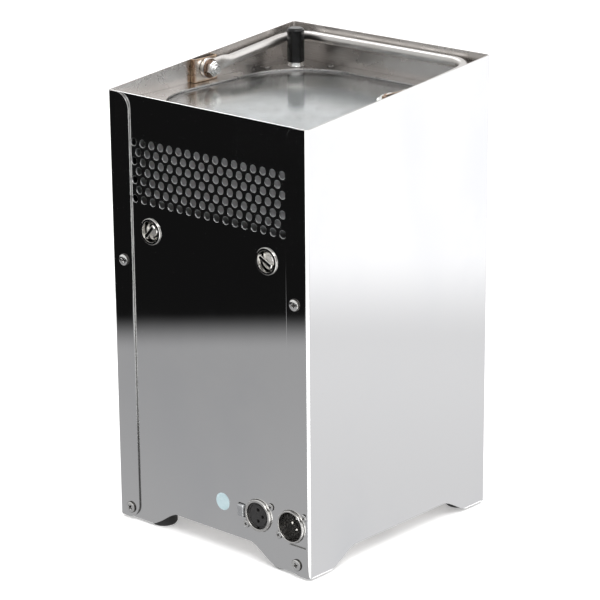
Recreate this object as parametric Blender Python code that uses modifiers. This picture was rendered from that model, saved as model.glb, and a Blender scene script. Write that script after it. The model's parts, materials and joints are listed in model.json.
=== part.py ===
"""A battery-powered LED uplighter in a folded stainless casing, 192 x 200 x 346 mm.

Frame: origin on the floor under the middle of the casing, +Z up, the rear panel faces +Y.
Heights below are measured from the lower edge of the casing's skirt. The feet stand a
little lower, so everything hangs from one empty that lifts the skirt off the floor.
"""

import math

import bmesh
import bpy
from mathutils import Matrix, Vector

MM = 0.001

# Casing
CASING_WIDTH = 192 * MM
CASING_DEPTH = 200 * MM
REAR_HEIGHT = 327 * MM
RIM_RISE = 19 * MM
SHEET = 1.2 * MM
CASING_BEND = 3 * MM
PAN_CORNER = 3 * MM
FLANGE_WIDTH = 20.4 * MM
FLANGE_CORNER = 11.5 * MM
FOOT_DROP = 2.2 * MM
GAP = 0.3 * MM
OVERSHOOT = 4 * MM

# Skirt notches: the flat feet at the corners, the length of the slope and the rise
REAR_FOOT_FLAT = 34 * MM
REAR_NOTCH_SLOPE = 24 * MM
REAR_NOTCH_RISE = 13.2 * MM
SIDE_FOOT_FLAT = 23 * MM
SIDE_NOTCH_SLOPE = 26 * MM
SIDE_NOTCH_RISE = 12 * MM
SLOPE_STEPS = 6

# Deck and window
DECK_DROP = 9.6 * MM
DECK_FLANGE = 12 * MM
WINDOW_MARGIN_X = 14 * MM
WINDOW_MARGIN_Y = 13.5 * MM
WINDOW_CORNER = 54 * MM
WINDOW_LAP = 3.2 * MM
PANE_THICK = 3.9 * MM
GASKET_THICK = 2 * MM
GASKET_WIDTH = 3 * MM
TRAY_DEPTH = 10 * MM
TRAY_INSET = 1 * MM

# Light engine
LED_PITCH = 35 * MM
LED_ROWS = 3
LENS_RADIUS = 12.5 * MM
LENS_BACK_RADIUS = 5 * MM
LENS_LENGTH = 12 * MM
LENS_WEB = 1.5 * MM
EMITTER_SIZE = 5 * MM
EMITTER_HEIGHT = 1.4 * MM
BOARD_THICK = 1.6 * MM
SINK_BASE = 8 * MM
SINK_LIP = 10 * MM
FIN_LENGTH = 36 * MM
FIN_PITCH = 11 * MM
FIN_THICK = 2.5 * MM
SINK_SIDE_CLEARANCE = 18 * MM
SINK_END_CLEARANCE = 10 * MM
FAN_SIZE = 120 * MM
FAN_DEPTH = 25 * MM
FAN_WALL = 3.5 * MM
FAN_HUB_RADIUS = 21 * MM
FAN_BLADES = 7

# Vents
VENT_RADIUS = 2.75 * MM
VENT_PITCH = 9 * MM
VENT_ROW_PITCH = 7 * MM
VENT_ROWS = 7
VENT_TOP_DROP = 35 * MM

# Handle, and the brackets that it turns on
BAR_RADIUS = 4 * MM
BAR_BEND = 20 * MM
PIVOT_Y = 3.5 * MM
PIVOT_ABOVE_DECK = 10.1 * MM
BAR_FRONT_GAP = 7.3 * MM
BAR_FRONT_DROP = 6.7 * MM
BRACKET_WIDTH = 25 * MM
BRACKET_HEIGHT = 17.6 * MM
BRACKET_STAND = 4.5 * MM
BRACKET_SHEET = 1.5 * MM
EYE_RADIUS = 7.5 * MM
EYE_THICK = 3 * MM
STUD_RADIUS = 3 * MM
WASHER_RADIUS = 7.2 * MM
WASHER_THICK = 1.2 * MM
NUT_RADIUS = 5.8 * MM
NUT_THICK = 5 * MM

# Antenna
ANTENNA_CORNER_X = 22.5 * MM
ANTENNA_CORNER_Y = 23 * MM
ANTENNA_RADIUS = 6.5 * MM
ANTENNA_LENGTH = 26 * MM
ANTENNA_STEM = 3 * MM
ANTENNA_STEM_LENGTH = 20 * MM
HEX_NUT_RADIUS = 6.6 * MM
HEX_NUT_THICK = 3 * MM

# Quarter-turn fasteners of the rear panel
LATCH_X = 56.7 * MM
LATCH_DROP = 99.1 * MM
LATCH_CUP_RADIUS = 8.6 * MM
LATCH_CUP_DEPTH = 8 * MM
LATCH_RIM_WIDTH = 1.15 * MM
LATCH_STUD_INSET = 1.6 * MM
LATCH_SHAFT_RADIUS = 2.7 * MM
LATCH_WING_INSET = 0.3 * MM
LATCH_WING_WIDTH = 3.2 * MM
LATCH_WING_HEIGHT = 6.5 * MM
LATCH_TURNS = {"left": 26, "right": -48}

# Screws
CASING_SCREW_INSET = 12.3 * MM
CASING_SCREW_RISE = 8 * MM
CASING_SCREW_DROP = 125 * MM
CASING_SCREW_HEAD = 4.4 * MM
SMALL_SCREW_HEAD = 2.8 * MM

# Data connectors: the shell's ring sets the screws and the flange around it
RING_RADIUS = 12 * MM
RING_PROUD = 2 * MM
RING_DEPTH = 22 * MM
INSERT_WALL = 2.2 * MM
SCREW_UP_INSET = 2.5 * MM
FLANGE_MARGIN_X = 3.4 * MM
FLANGE_MARGIN_Z = 3.5 * MM
CONNECTOR_SIDE_GAP = 3.1 * MM
CONNECTOR_SPACING = 0.9 * MM
CONNECTOR_BASE_GAP = 1.4 * MM
CONTACT_OFFSET = 4.3 * MM
CONTACT_RADIUS = 1.3 * MM
TAB_GAP = 1.4 * MM
TAB_WIDTH = 5.7 * MM
TAB_HALF_HEIGHT = 4.5 * MM
TAB_SLOT_MARGIN = 0.7 * MM

# Base, control well and the equipment in the lower half
BASE_HEIGHT = 14 * MM
BASE_FLANGE = 7 * MM
WELL_WIDTH = 96 * MM
WELL_FRONT = 40 * MM
WELL_REAR = 44 * MM
WELL_HEIGHT = 44 * MM
WELL_FLANGE = 6 * MM
SHELF_HEIGHT = 64 * MM
SHELF_FLANGE = 12 * MM
SHELF_REAR_GAP = 8 * MM
BATTERY_DEPTH = 58 * MM
BATTERY_HEIGHT = 68 * MM
SUPPLY_HEIGHT = 36 * MM
EQUIPMENT_CLEARANCE = 3 * MM
DRIVER_RAISE = 47 * MM
FOOT_RADIUS = 10 * MM
FOOT_REAR_INSET = (34 * MM, 13 * MM)
FOOT_FRONT_INSET = (14 * MM, 15 * MM)
DISPLAY_SIZE = (24 * MM, 50 * MM, 8 * MM)
BUTTON_RADIUS = 4 * MM
BUTTON_PITCH = 12 * MM
BUTTON_COUNT = 4
SWITCH_SIZE = (15 * MM, 24 * MM, 16 * MM)
ROCKER_TILT = 9
INLET_SIZE = (28 * MM, 20 * MM, 20 * MM)

# Heights and places that follow from the sizes above
HALF_X = CASING_WIDTH / 2
HALF_Y = CASING_DEPTH / 2
FRONT_HEIGHT = REAR_HEIGHT + RIM_RISE
INNER_X = HALF_X - SHEET - GAP
BEND_INSIDE = CASING_BEND - SHEET
BEND_RELIEF = BEND_INSIDE - math.sqrt(BEND_INSIDE**2 - (BEND_INSIDE - GAP) ** 2)
PANEL_X = INNER_X - BEND_RELIEF
INNER_FRONT = -HALF_Y + SHEET + GAP
PANEL_OUT = HALF_Y - SHEET - GAP
PANEL_IN = PANEL_OUT - SHEET
INNER_REAR = PANEL_IN - GAP
DECK_TOP = REAR_HEIGHT - DECK_DROP
PANE_TOP = DECK_TOP - SHEET - GAP
GASKET_TOP = PANE_TOP - PANE_THICK - GAP
TRAY_TOP = GASKET_TOP - GASKET_THICK - GAP
TRAY_FLOOR = TRAY_TOP - TRAY_DEPTH
LENS_BOTTOM = TRAY_FLOOR + GAP - LENS_LENGTH
BOARD_TOP = LENS_BOTTOM - GAP - EMITTER_HEIGHT
SINK_TOP = BOARD_TOP - BOARD_THICK - GAP
FAN_TOP = SINK_TOP - SINK_BASE - FIN_LENGTH - GAP
PIVOT_Z = DECK_TOP + PIVOT_ABOVE_DECK
BRACKET_FACE = HALF_X - SHEET - GAP - BRACKET_STAND
BAR_X = BRACKET_FACE - 2.3 * MM
LATCH_Z = REAR_HEIGHT - LATCH_DROP
LATCH_RIM_RADIUS = LATCH_CUP_RADIUS + LATCH_RIM_WIDTH
LATCH_STUD_RADIUS = LATCH_CUP_RADIUS - LATCH_STUD_INSET
CASING_SCREW_HEIGHTS = (CASING_SCREW_RISE, REAR_HEIGHT - CASING_SCREW_DROP)
CONNECTOR_SCREW = (RING_RADIUS, RING_RADIUS - SCREW_UP_INSET)
CONNECTOR_FLANGE = (CONNECTOR_SCREW[0] + FLANGE_MARGIN_X, CONNECTOR_SCREW[1] + FLANGE_MARGIN_Z)
CONNECTOR_OUT_INSET = CONNECTOR_FLANGE[0] + CONNECTOR_SIDE_GAP
CONNECTOR_PITCH = 2 * CONNECTOR_FLANGE[0] + CONNECTOR_SPACING
CONNECTOR_Z = BASE_HEIGHT + BASE_FLANGE + CONNECTOR_BASE_GAP + CONNECTOR_FLANGE[1]
INSERT_RADIUS = RING_RADIUS - INSERT_WALL
TAB_NEAR = RING_RADIUS + TAB_GAP
TAB_FAR = TAB_NEAR + TAB_WIDTH

STEEL = ((0.75, 0.75, 0.74), 0.08, 1.0)
SATIN_STEEL = ((0.56, 0.53, 0.50), 0.32, 1.0)
ZINC = ((0.68, 0.68, 0.66), 0.3, 1.0)
ALUMINIUM = ((0.62, 0.63, 0.64), 0.4, 1.0)
BLACK = ((0.02, 0.02, 0.02), 0.45, 0.0)
RUBBER = ((0.03, 0.03, 0.03), 0.8, 0.0)
CLEAR = ((0.85, 0.90, 0.90), 0.05, 0.0)
WHITE = ((0.80, 0.80, 0.78), 0.5, 0.0)
BOARD_GREEN = ((0.03, 0.16, 0.08), 0.5, 0.0)
PACK_BLUE = ((0.05, 0.12, 0.35), 0.5, 0.0)
GLASS_DARK = ((0.02, 0.04, 0.05), 0.1, 0.0)


def clear_scene():
    for item in list(bpy.data.objects):
        bpy.data.objects.remove(item, do_unlink=True)


def new_collection(name):
    group = bpy.data.collections.new(name)
    bpy.context.scene.collection.children.link(group)
    return group


clear_scene()
PARTS = new_collection("led_uplighter")
CUTTERS = new_collection("cutters")
SKIRT = bpy.data.objects.new("skirt_level", None)
SKIRT.location = (0, 0, FOOT_DROP)
PARTS.objects.link(SKIRT)


# ---------------------------------------------------------------- building blocks


def axis_empty(name, place):
    """An empty on a joint's axis, for the moving piece to hang from."""
    empty = bpy.data.objects.new(name, None)
    empty.parent = SKIRT
    empty.location = place
    PARTS.objects.link(empty)
    return empty


def hang(piece, empty):
    """Hangs a piece from a joint's empty without moving it."""
    piece.parent = empty
    piece.location = Vector(piece.location) - Vector(empty.location)
    return piece


def add_object(name, mesh, finish):
    """Links a mesh as a part with its own material, or as a cutter where it has no finish."""
    piece = bpy.data.objects.new(name, mesh)
    piece.parent = SKIRT
    if finish is None:
        piece.hide_render = True
        piece.display_type = "WIRE"
        CUTTERS.objects.link(piece)
        return piece
    colour, roughness, metallic = finish
    material = bpy.data.materials.new(name)
    material.use_nodes = True
    shader = material.node_tree.nodes["Principled BSDF"]
    shader.inputs["Base Color"].default_value = (*colour, 1)
    shader.inputs["Roughness"].default_value = roughness
    shader.inputs["Metallic"].default_value = metallic
    mesh.materials.append(material)
    PARTS.objects.link(piece)
    return piece


def from_bmesh(name, shape, finish):
    mesh = bpy.data.meshes.new(name)
    shape.to_mesh(mesh)
    shape.free()
    return add_object(name, mesh, finish)


def box(name, low, high, finish=None, round_by=0, segments=2):
    """A block between two corners, with its edges rounded by a Bevel where asked."""
    low, high = Vector(low), Vector(high)
    shape = bmesh.new()
    bmesh.ops.create_cube(shape, size=1)
    bmesh.ops.scale(shape, verts=shape.verts, vec=high - low)
    piece = from_bmesh(name, shape, finish)
    piece.location = (low + high) / 2
    if round_by:
        bevel = piece.modifiers.new("rounded_edges", "BEVEL")
        bevel.width = round_by
        bevel.segments = segments
    return piece


AXIS_TURNS = {"X": (90, 0, 90), "Y": (90, 0, 0), "Z": (0, 0, 0)}


def mesh_of_curve(curve):
    """The welded mesh of a curve, so that it can be cut and joined."""
    holder = bpy.data.objects.new("outline", curve)
    bpy.context.scene.collection.objects.link(holder)
    graph = bpy.context.evaluated_depsgraph_get()
    mesh = bpy.data.meshes.new_from_object(holder.evaluated_get(graph))
    bpy.data.objects.remove(holder)
    shape = bmesh.new()
    shape.from_mesh(mesh)
    bmesh.ops.remove_doubles(shape, verts=shape.verts, dist=1e-6)
    shape.to_mesh(mesh)
    shape.free()
    return mesh


def prism(name, outline, axis, start, end, finish=None, holes=()):
    """A flat outline pulled along an axis. It is drawn in (y, z), (x, z) or (x, y)."""
    curve = bpy.data.curves.new(name, "CURVE")
    curve.dimensions = "2D"
    curve.fill_mode = "BOTH"
    curve.extrude = abs(end - start) / 2
    for loop in [outline, *holes]:
        spline = curve.splines.new("POLY")
        spline.points.add(len(loop) - 1)
        for point, place in zip(spline.points, loop):
            point.co = (place[0], place[1], 0, 1)
        spline.use_cyclic_u = True
    piece = add_object(name, mesh_of_curve(curve), finish)
    piece.rotation_euler = [math.radians(turn) for turn in AXIS_TURNS[axis]]
    piece.location["XYZ".index(axis)] = (start + end) / 2
    return piece


FACINGS = {"+X": (0, 90, 0), "-X": (0, -90, 0), "+Y": (-90, 0, 0), "+Z": (0, 0, 0)}


def turned(name, profile, place, facing="+Z", finish=None, steps=24, ring=False):
    """A profile of (radius, height), down its outer side, turned about the facing axis."""
    shape = bmesh.new()
    chain = [shape.verts.new((radius, 0, height)) for radius, height in profile]
    for pair in zip(chain, chain[1:] + chain[:1] if ring else chain[1:]):
        shape.edges.new(pair)
    piece = from_bmesh(name, shape, finish)
    screw = piece.modifiers.new("turning", "SCREW")
    screw.steps = steps
    screw.render_steps = steps
    screw.use_merge_vertices = True
    screw.merge_threshold = 1e-5
    piece.rotation_euler = [math.radians(turn) for turn in FACINGS[facing]]
    piece.location = place
    return piece


def disc(name, radius, low, high, place, facing="+Z", finish=None, steps=24):
    """A plain cylinder between two heights along the facing axis."""
    profile = [(0, high), (radius, high), (radius, low), (0, low)]
    return turned(name, profile, place, facing, finish, steps)


def tube_ring(name, outer, inner, low, high, place, facing="+Z", finish=None, steps=24):
    """A plain ring between two heights. The flats of its bore lie on the inner radius."""
    inner /= math.cos(math.pi / steps)
    profile = [(outer, high), (outer, low), (inner, low), (inner, high)]
    return turned(name, profile, place, facing, finish, steps, ring=True)


def boolean(target, tool, operation):
    modifier = target.modifiers.new(tool.name, "BOOLEAN")
    modifier.operation = operation
    modifier.object = tool
    return target


def cut(target, *tools):
    for tool in tools:
        boolean(target, tool, "DIFFERENCE")


def join(target, *tools):
    for tool in tools:
        boolean(target, tool, "UNION")


def rounded(points, radius, steps=6, closed=False):
    """The path with each corner turned into an arc."""
    points = [Vector(point) for point in points]
    path = []
    for index, corner in enumerate(points):
        if not closed and index in (0, len(points) - 1):
            path.append(corner)
            continue
        before = (points[index - 1] - corner).normalized()
        after = (points[(index + 1) % len(points)] - corner).normalized()
        half = before.angle(after) / 2
        middle = corner + (before + after).normalized() * radius / math.sin(half)
        start = corner + before * radius / math.tan(half) - middle
        end = corner + after * radius / math.tan(half) - middle
        spin = start.cross(end).normalized()
        for step in range(steps + 1):
            turn = Matrix.Rotation((math.pi - 2 * half) * step / steps, 3, spin)
            path.append(middle + turn @ start)
    return path


def rounded_rectangle(half_x, half_y, radius, steps=6, centre=(0, 0)):
    x, y = centre
    corners = [(half_x, half_y), (-half_x, half_y), (-half_x, -half_y), (half_x, -half_y)]
    return rounded([(x + u, y + v, 0) for u, v in corners], radius, steps, closed=True)


def circle(radius, centre, sides=12):
    x, y = centre
    turns = [2 * math.pi * side / sides for side in range(sides)]
    return [(x + radius * math.cos(turn), y + radius * math.sin(turn)) for turn in turns]


def pan(name, half_x, y_low, y_high, floor, depth, finish):
    """A folded sheet pan: a flat face at height floor and walls of a signed depth.

    A positive depth hangs the walls down, a negative one stands them up.
    """
    shape = bmesh.new()
    middle, half_y = (y_low + y_high) / 2, (y_high - y_low) / 2
    outline = rounded_rectangle(half_x, half_y, PAN_CORNER, 2, (0, middle))
    face = shape.faces.new([shape.verts.new((x, y, floor)) for x, y, _ in outline])
    walls = bmesh.ops.extrude_edge_only(shape, edges=shape.edges[:])
    edge_verts = [item for item in walls["geom"] if isinstance(item, bmesh.types.BMVert)]
    bmesh.ops.translate(shape, verts=edge_verts, vec=(0, 0, -depth))
    bmesh.ops.recalc_face_normals(shape, faces=shape.faces)
    face.normal_update()
    if (face.normal.z > 0) != (depth > 0):
        bmesh.ops.reverse_faces(shape, faces=shape.faces)
    piece = from_bmesh(name, shape, finish)
    thicken(piece, SHEET)
    return piece


def thicken(piece, thickness):
    """Gives an open surface its sheet thickness, on the inner side."""
    wall = piece.modifiers.new("sheet", "SOLIDIFY")
    wall.thickness = thickness
    wall.offset = -1
    wall.use_even_offset = True


# ---------------------------------------------------------------- casing


def rim_height(y):
    return REAR_HEIGHT + RIM_RISE * (HALF_Y - y) / CASING_DEPTH


def notch_edge(half_width, foot_flat, slope, rise):
    """The skirt's lower edge between two feet, as (along, height) points."""
    outer = half_width - foot_flat
    side = []
    for step in range(SLOPE_STEPS + 1):
        share = step / SLOPE_STEPS
        eased = share * share * (3 - 2 * share)
        side.append((outer - slope * share, rise * (share + eased) / 2))
    return [(-along, height) for along, height in side] + side[::-1]


def notch_cutter(name, edge, axis, start, end):
    below = [(edge[-1][0], -OVERSHOOT), (edge[0][0], -OVERSHOOT)]
    return prism(name, edge + below, axis, start, end)


def flange_corner_cutter(name, side, edge_z, up):
    """The waste outside the rounded inner corner of a rear flange."""
    edge_x = HALF_X - FLANGE_WIDTH
    over_x, over_z = edge_x - OVERSHOOT, edge_z + up * OVERSHOOT
    far_x = edge_x + FLANGE_CORNER
    outline = [(over_x, edge_z - up * FLANGE_CORNER), (over_x, over_z), (far_x, over_z)]
    for step in range(SLOPE_STEPS + 1):
        turn = math.pi / 2 * step / SLOPE_STEPS
        along = far_x - FLANGE_CORNER * math.sin(turn)
        height = edge_z - up * FLANGE_CORNER * (1 - math.cos(turn))
        outline.append((along, height))
    outline = [(side * x, z) for x, z in outline[:-1]]
    return prism(name, outline, "Y", PANEL_OUT, HALF_Y + OVERSHOOT)


def connector_places():
    out_x = -HALF_X + CONNECTOR_OUT_INSET
    return {"dmx_out": out_x, "dmx_in": out_x + CONNECTOR_PITCH}


def casing_screw_places():
    x = HALF_X - CASING_SCREW_INSET
    return [(side * x, z) for z in CASING_SCREW_HEIGHTS for side in (-1, 1)]


def outer_casing():
    """Both sides and the front in one folded sheet, with a flange along each rear edge."""
    flange = HALF_X - FLANGE_WIDTH
    corners = [(-flange, HALF_Y), (-HALF_X, HALF_Y), (-HALF_X, -HALF_Y)]
    corners += [(-x, y) for x, y in corners[::-1]]
    path = rounded([(x, y, 0) for x, y in corners], CASING_BEND, 4)
    shape = bmesh.new()
    chain = [shape.verts.new(place) for place in path]
    edges = [shape.edges.new(pair) for pair in zip(chain, chain[1:])]
    lifted = bmesh.ops.extrude_edge_only(shape, edges=edges)
    top = [item for item in lifted["geom"] if isinstance(item, bmesh.types.BMVert)]
    bmesh.ops.translate(shape, verts=top, vec=(0, 0, FRONT_HEIGHT + OVERSHOOT))
    bmesh.ops.recalc_face_normals(shape, faces=shape.faces)
    casing = from_bmesh("outer_casing", shape, STEEL)
    thicken(casing, SHEET)

    ends = (-HALF_Y - OVERSHOOT, HALF_Y + OVERSHOOT)
    high = FRONT_HEIGHT + 4 * OVERSHOOT
    slope = [(ends[0], rim_height(ends[0])), (ends[1], rim_height(ends[1]))]
    waste = slope + [(ends[1], high), (ends[0], high)]
    cut(casing, prism("rim_waste", waste, "X", -HALF_X - OVERSHOOT, HALF_X + OVERSHOOT))

    side_edge = notch_edge(HALF_Y, SIDE_FOOT_FLAT, SIDE_NOTCH_SLOPE, SIDE_NOTCH_RISE)
    front_edge = notch_edge(HALF_X, REAR_FOOT_FLAT, REAR_NOTCH_SLOPE, REAR_NOTCH_RISE)
    reach = HALF_X + OVERSHOOT
    cut(casing, notch_cutter("side_notches", side_edge, "X", -reach, reach))
    cut(casing, notch_cutter("front_notch", front_edge, "Y", ends[0], -HALF_Y + OVERSHOOT))

    for side, word in ((-1, "left"), (1, "right")):
        cut(casing, flange_corner_cutter(f"{word}_top_corner", side, REAR_HEIGHT, 1))
        cut(casing, flange_corner_cutter(f"{word}_low_corner", side, 0, -1))
    out_x = connector_places()["dmx_out"]
    notch_reach = CONNECTOR_SCREW[0] + SMALL_SCREW_HEAD + GAP
    notch_half = CONNECTOR_FLANGE[1] + 0.5 * MM
    notch_low = (out_x - notch_reach, PANEL_OUT, CONNECTOR_Z - notch_half)
    notch_high = (-flange + OVERSHOOT, HALF_Y + OVERSHOOT, CONNECTOR_Z + notch_half)
    cut(casing, box("connector_notch", notch_low, notch_high))
    for index, (x, z) in enumerate(casing_screw_places()):
        hole = disc(f"flange_hole_{index}", 2.2 * MM, -5 * MM, 5 * MM, (x, HALF_Y, z), "+Y", steps=12)
        cut(casing, hole)
    return casing


def vent_centres():
    """Staggered rows: the odd ones have a hole on the middle line."""
    reach = HALF_X - FLANGE_WIDTH
    columns = int(reach / VENT_PITCH)
    centres = []
    for row in range(VENT_ROWS):
        z = REAR_HEIGHT - VENT_TOP_DROP - row * VENT_ROW_PITCH
        if row % 2 == 0:
            places = [column * VENT_PITCH for column in range(-columns, columns + 1)]
        else:
            places = [(column + 0.5) * VENT_PITCH for column in range(-columns, columns)]
        centres += [(x, z) for x in places]
    return centres


def rear_panel():
    """The flat panel behind the flanges, with vents, fastener holes and connectors."""
    edge = notch_edge(HALF_X, REAR_FOOT_FLAT, REAR_NOTCH_SLOPE, REAR_NOTCH_RISE)
    outline = [(PANEL_X, 0), (PANEL_X, REAR_HEIGHT), (-PANEL_X, REAR_HEIGHT), (-PANEL_X, 0)]
    outline += edge
    holes = [circle(VENT_RADIUS, centre, 6) for centre in vent_centres()]
    for side in (-1, 1):
        holes.append(circle(LATCH_CUP_RADIUS + GAP, (side * LATCH_X, LATCH_Z), 20))
    holes += [circle(2.2 * MM, place, 10) for place in casing_screw_places()]
    for name, x in connector_places().items():
        holes.append(circle(RING_RADIUS + GAP, (x, CONNECTOR_Z), 24))
        holes += [circle(1.8 * MM, place, 8) for place in connector_screw_places(x)]
    tab_x = connector_places()["dmx_in"] + (TAB_NEAR + TAB_FAR) / 2
    half, slot_half = TAB_WIDTH / 2 + TAB_SLOT_MARGIN, TAB_HALF_HEIGHT + TAB_SLOT_MARGIN
    holes.append(rounded_rectangle(half, slot_half, 0.8 * MM, 2, (tab_x, CONNECTOR_Z)))
    return prism("rear_panel", outline, "Y", PANEL_IN, PANEL_OUT, STEEL, holes)


# ---------------------------------------------------------------- deck and optics


def window_outline(grow, steps=6):
    """The window's rounded shape, grown outwards by a margin."""
    half_x = HALF_X - WINDOW_MARGIN_X + grow
    half_y = HALF_Y - WINDOW_MARGIN_Y + grow
    return rounded_rectangle(half_x, half_y, WINDOW_CORNER + grow, steps)


def antenna_place():
    return HALF_X - ANTENNA_CORNER_X, -HALF_Y + ANTENNA_CORNER_Y


def deck_screw_places():
    """One each side of the antenna, along the two edges of the front corner."""
    return [
        (HALF_X - 11.5 * MM, -HALF_Y + 43.6 * MM),
        (HALF_X - 46 * MM, -HALF_Y + 9.3 * MM),
    ]


def top_deck():
    deck = pan("top_deck", INNER_X, INNER_FRONT, INNER_REAR, DECK_TOP, DECK_FLANGE, SATIN_STEEL)
    low, high = DECK_TOP - 3 * SHEET, DECK_TOP + OVERSHOOT
    cut(deck, prism("window_cut", window_outline(0), "Z", low, high))
    x, y = antenna_place()
    cut(deck, disc("antenna_hole", ANTENNA_STEM + GAP, low, high, (x, y, 0), steps=12))
    for index, (x, y) in enumerate(deck_screw_places()):
        cut(deck, disc(f"deck_hole_{index}", 1.8 * MM, low, high, (x, y, 0), steps=10))
    return deck


def window_parts():
    """The clear pane, its rubber seal and the tray that holds both under the deck."""
    lap = window_outline(WINDOW_LAP)
    prism("window_pane", lap, "Z", PANE_TOP - PANE_THICK, PANE_TOP, CLEAR)
    seal_hole = [window_outline(WINDOW_LAP - GASKET_WIDTH)]
    low = GASKET_TOP - GASKET_THICK
    prism("window_gasket", lap, "Z", low, GASKET_TOP, RUBBER, seal_hole)

    tray = prism("reflector_tray", lap, "Z", TRAY_TOP - SHEET, TRAY_TOP, WHITE)
    dish = window_outline(-TRAY_INSET)
    join(tray, prism("tray_dish", dish, "Z", TRAY_FLOOR - SHEET, TRAY_TOP - SHEET / 2))
    hollow = window_outline(-TRAY_INSET - SHEET)
    cut(tray, prism("tray_hollow", hollow, "Z", TRAY_FLOOR, TRAY_TOP + OVERSHOOT))
    for index, (x, y) in enumerate(led_places()):
        low, high = TRAY_FLOOR - OVERSHOOT, TRAY_FLOOR + OVERSHOOT
        cut(tray, disc(f"lens_hole_{index}", LENS_RADIUS + GAP, low, high, (x, y, 0), steps=12))
    return tray


def led_places():
    span = [(index - (LED_ROWS - 1) / 2) * LED_PITCH for index in range(LED_ROWS)]
    return [(x, y) for y in span for x in span]


def engine_half():
    """Half the side of the square that the lenses and the board fill."""
    return LED_PITCH * (LED_ROWS - 1) / 2 + LENS_RADIUS + 3 * MM


def lens_array():
    """Nine collimating lenses moulded on one web."""
    half = engine_half()
    middle = LENS_BOTTOM + LENS_LENGTH / 2
    low, high = (-half, -half, middle - LENS_WEB / 2), (half, half, middle + LENS_WEB / 2)
    array = box("lens_array", low, high, CLEAR)
    top = LENS_BOTTOM + LENS_LENGTH
    profile = [
        (0, top + 0.6 * MM),
        (LENS_RADIUS, top - 0.6 * MM),
        (LENS_RADIUS, top - 2 * MM),
        (LENS_BACK_RADIUS, LENS_BOTTOM),
        (0, LENS_BOTTOM),
    ]
    for index, (x, y) in enumerate(led_places()):
        join(array, turned(f"lens_{index}", profile, (x, y, 0), steps=12))
    return array


def led_board():
    half = engine_half()
    board = box("led_board", (-half, -half, BOARD_TOP - BOARD_THICK), (half, half, BOARD_TOP), WHITE)
    reach = EMITTER_SIZE / 2
    for index, (x, y) in enumerate(led_places()):
        low = (x - reach, y - reach, BOARD_TOP - BOARD_THICK / 2)
        high = (x + reach, y + reach, BOARD_TOP + EMITTER_HEIGHT)
        join(board, box(f"emitter_{index}", low, high))
    return board


def sink_half_x():
    return HALF_X - SINK_SIDE_CLEARANCE


def heat_sink():
    """An extruded block: fins hang down along it and a lip stands up behind the vents."""
    half_y = HALF_Y - SINK_END_CLEARANCE
    fins = int((2 * half_y - FIN_THICK) / FIN_PITCH) + 1
    first = -(fins - 1) * FIN_PITCH / 2 - FIN_THICK / 2
    shoulder, tip = SINK_TOP - SINK_BASE, SINK_TOP - SINK_BASE - FIN_LENGTH
    lip_top, lip_start = SINK_TOP + SINK_LIP, -first - FIN_THICK
    outline = [(-first, lip_top), (lip_start, lip_top), (lip_start, SINK_TOP), (first, SINK_TOP)]
    for fin in range(fins):
        start = first + fin * FIN_PITCH
        outline += [(start, tip), (start + FIN_THICK, tip)]
        if fin < fins - 1:
            outline += [(start + FIN_THICK, shoulder), (start + FIN_PITCH, shoulder)]
    return prism("heat_sink", outline, "X", -sink_half_x(), sink_half_x(), ALUMINIUM)


def engine_bracket(side, word):
    """An angle from the side wall to the edge of the heat sink."""
    foot = SINK_TOP + GAP
    inner, outer = sink_half_x() - 7 * MM, INNER_X
    outline = [
        (inner, foot),
        (outer, foot),
        (outer, foot + 13 * MM),
        (outer - SHEET, foot + 13 * MM),
        (outer - SHEET, foot + SHEET),
        (inner, foot + SHEET),
    ]
    outline = [(side * x, z) for x, z in outline]
    reach = HALF_Y - 45 * MM
    return prism(f"engine_bracket_{word}", outline, "Y", -reach, reach, ALUMINIUM)


def fan():
    """A square axial fan under the fins: its frame and, on the motor's axis, the rotor."""
    half, low = FAN_SIZE / 2, FAN_TOP - FAN_DEPTH
    bore = half - FAN_WALL
    square = rounded_rectangle(half, half, 4 * MM, 3)
    frame = prism("fan_frame", square, "Z", low, FAN_TOP, BLACK, [circle(bore, (0, 0), 24)])
    arm_top = low + 3 * MM
    for index in range(2):
        arm = box(f"fan_arm_{index}", (-bore - MM, -2 * MM, low), (bore + MM, 2 * MM, arm_top))
        arm.rotation_euler.z = math.radians(45 + 90 * index)
        join(frame, arm)
    join(frame, disc("motor_seat", FAN_HUB_RADIUS, low, arm_top, (0, 0, 0)))

    hub_low = arm_top + 2 * GAP
    rotor = disc("fan_rotor", FAN_HUB_RADIUS, hub_low, FAN_TOP - 2 * MM, (0, 0, 0), finish=BLACK)
    reach = bore - 2 * MM
    for index in range(FAN_BLADES):
        blade = box(
            f"fan_blade_{index}",
            (FAN_HUB_RADIUS - 3 * MM, -12 * MM, -0.8 * MM),
            (reach, 12 * MM, 0.8 * MM),
        )
        turn = 2 * math.pi * index / FAN_BLADES
        along = blade.location.x
        blade.location = (along * math.cos(turn), along * math.sin(turn), (hub_low + FAN_TOP) / 2)
        blade.rotation_euler = (math.radians(32), 0, turn)
        join(rotor, blade)
    hang(rotor, axis_empty("fan_axis", (0, 0, low)))


# ---------------------------------------------------------------- handle


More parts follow.
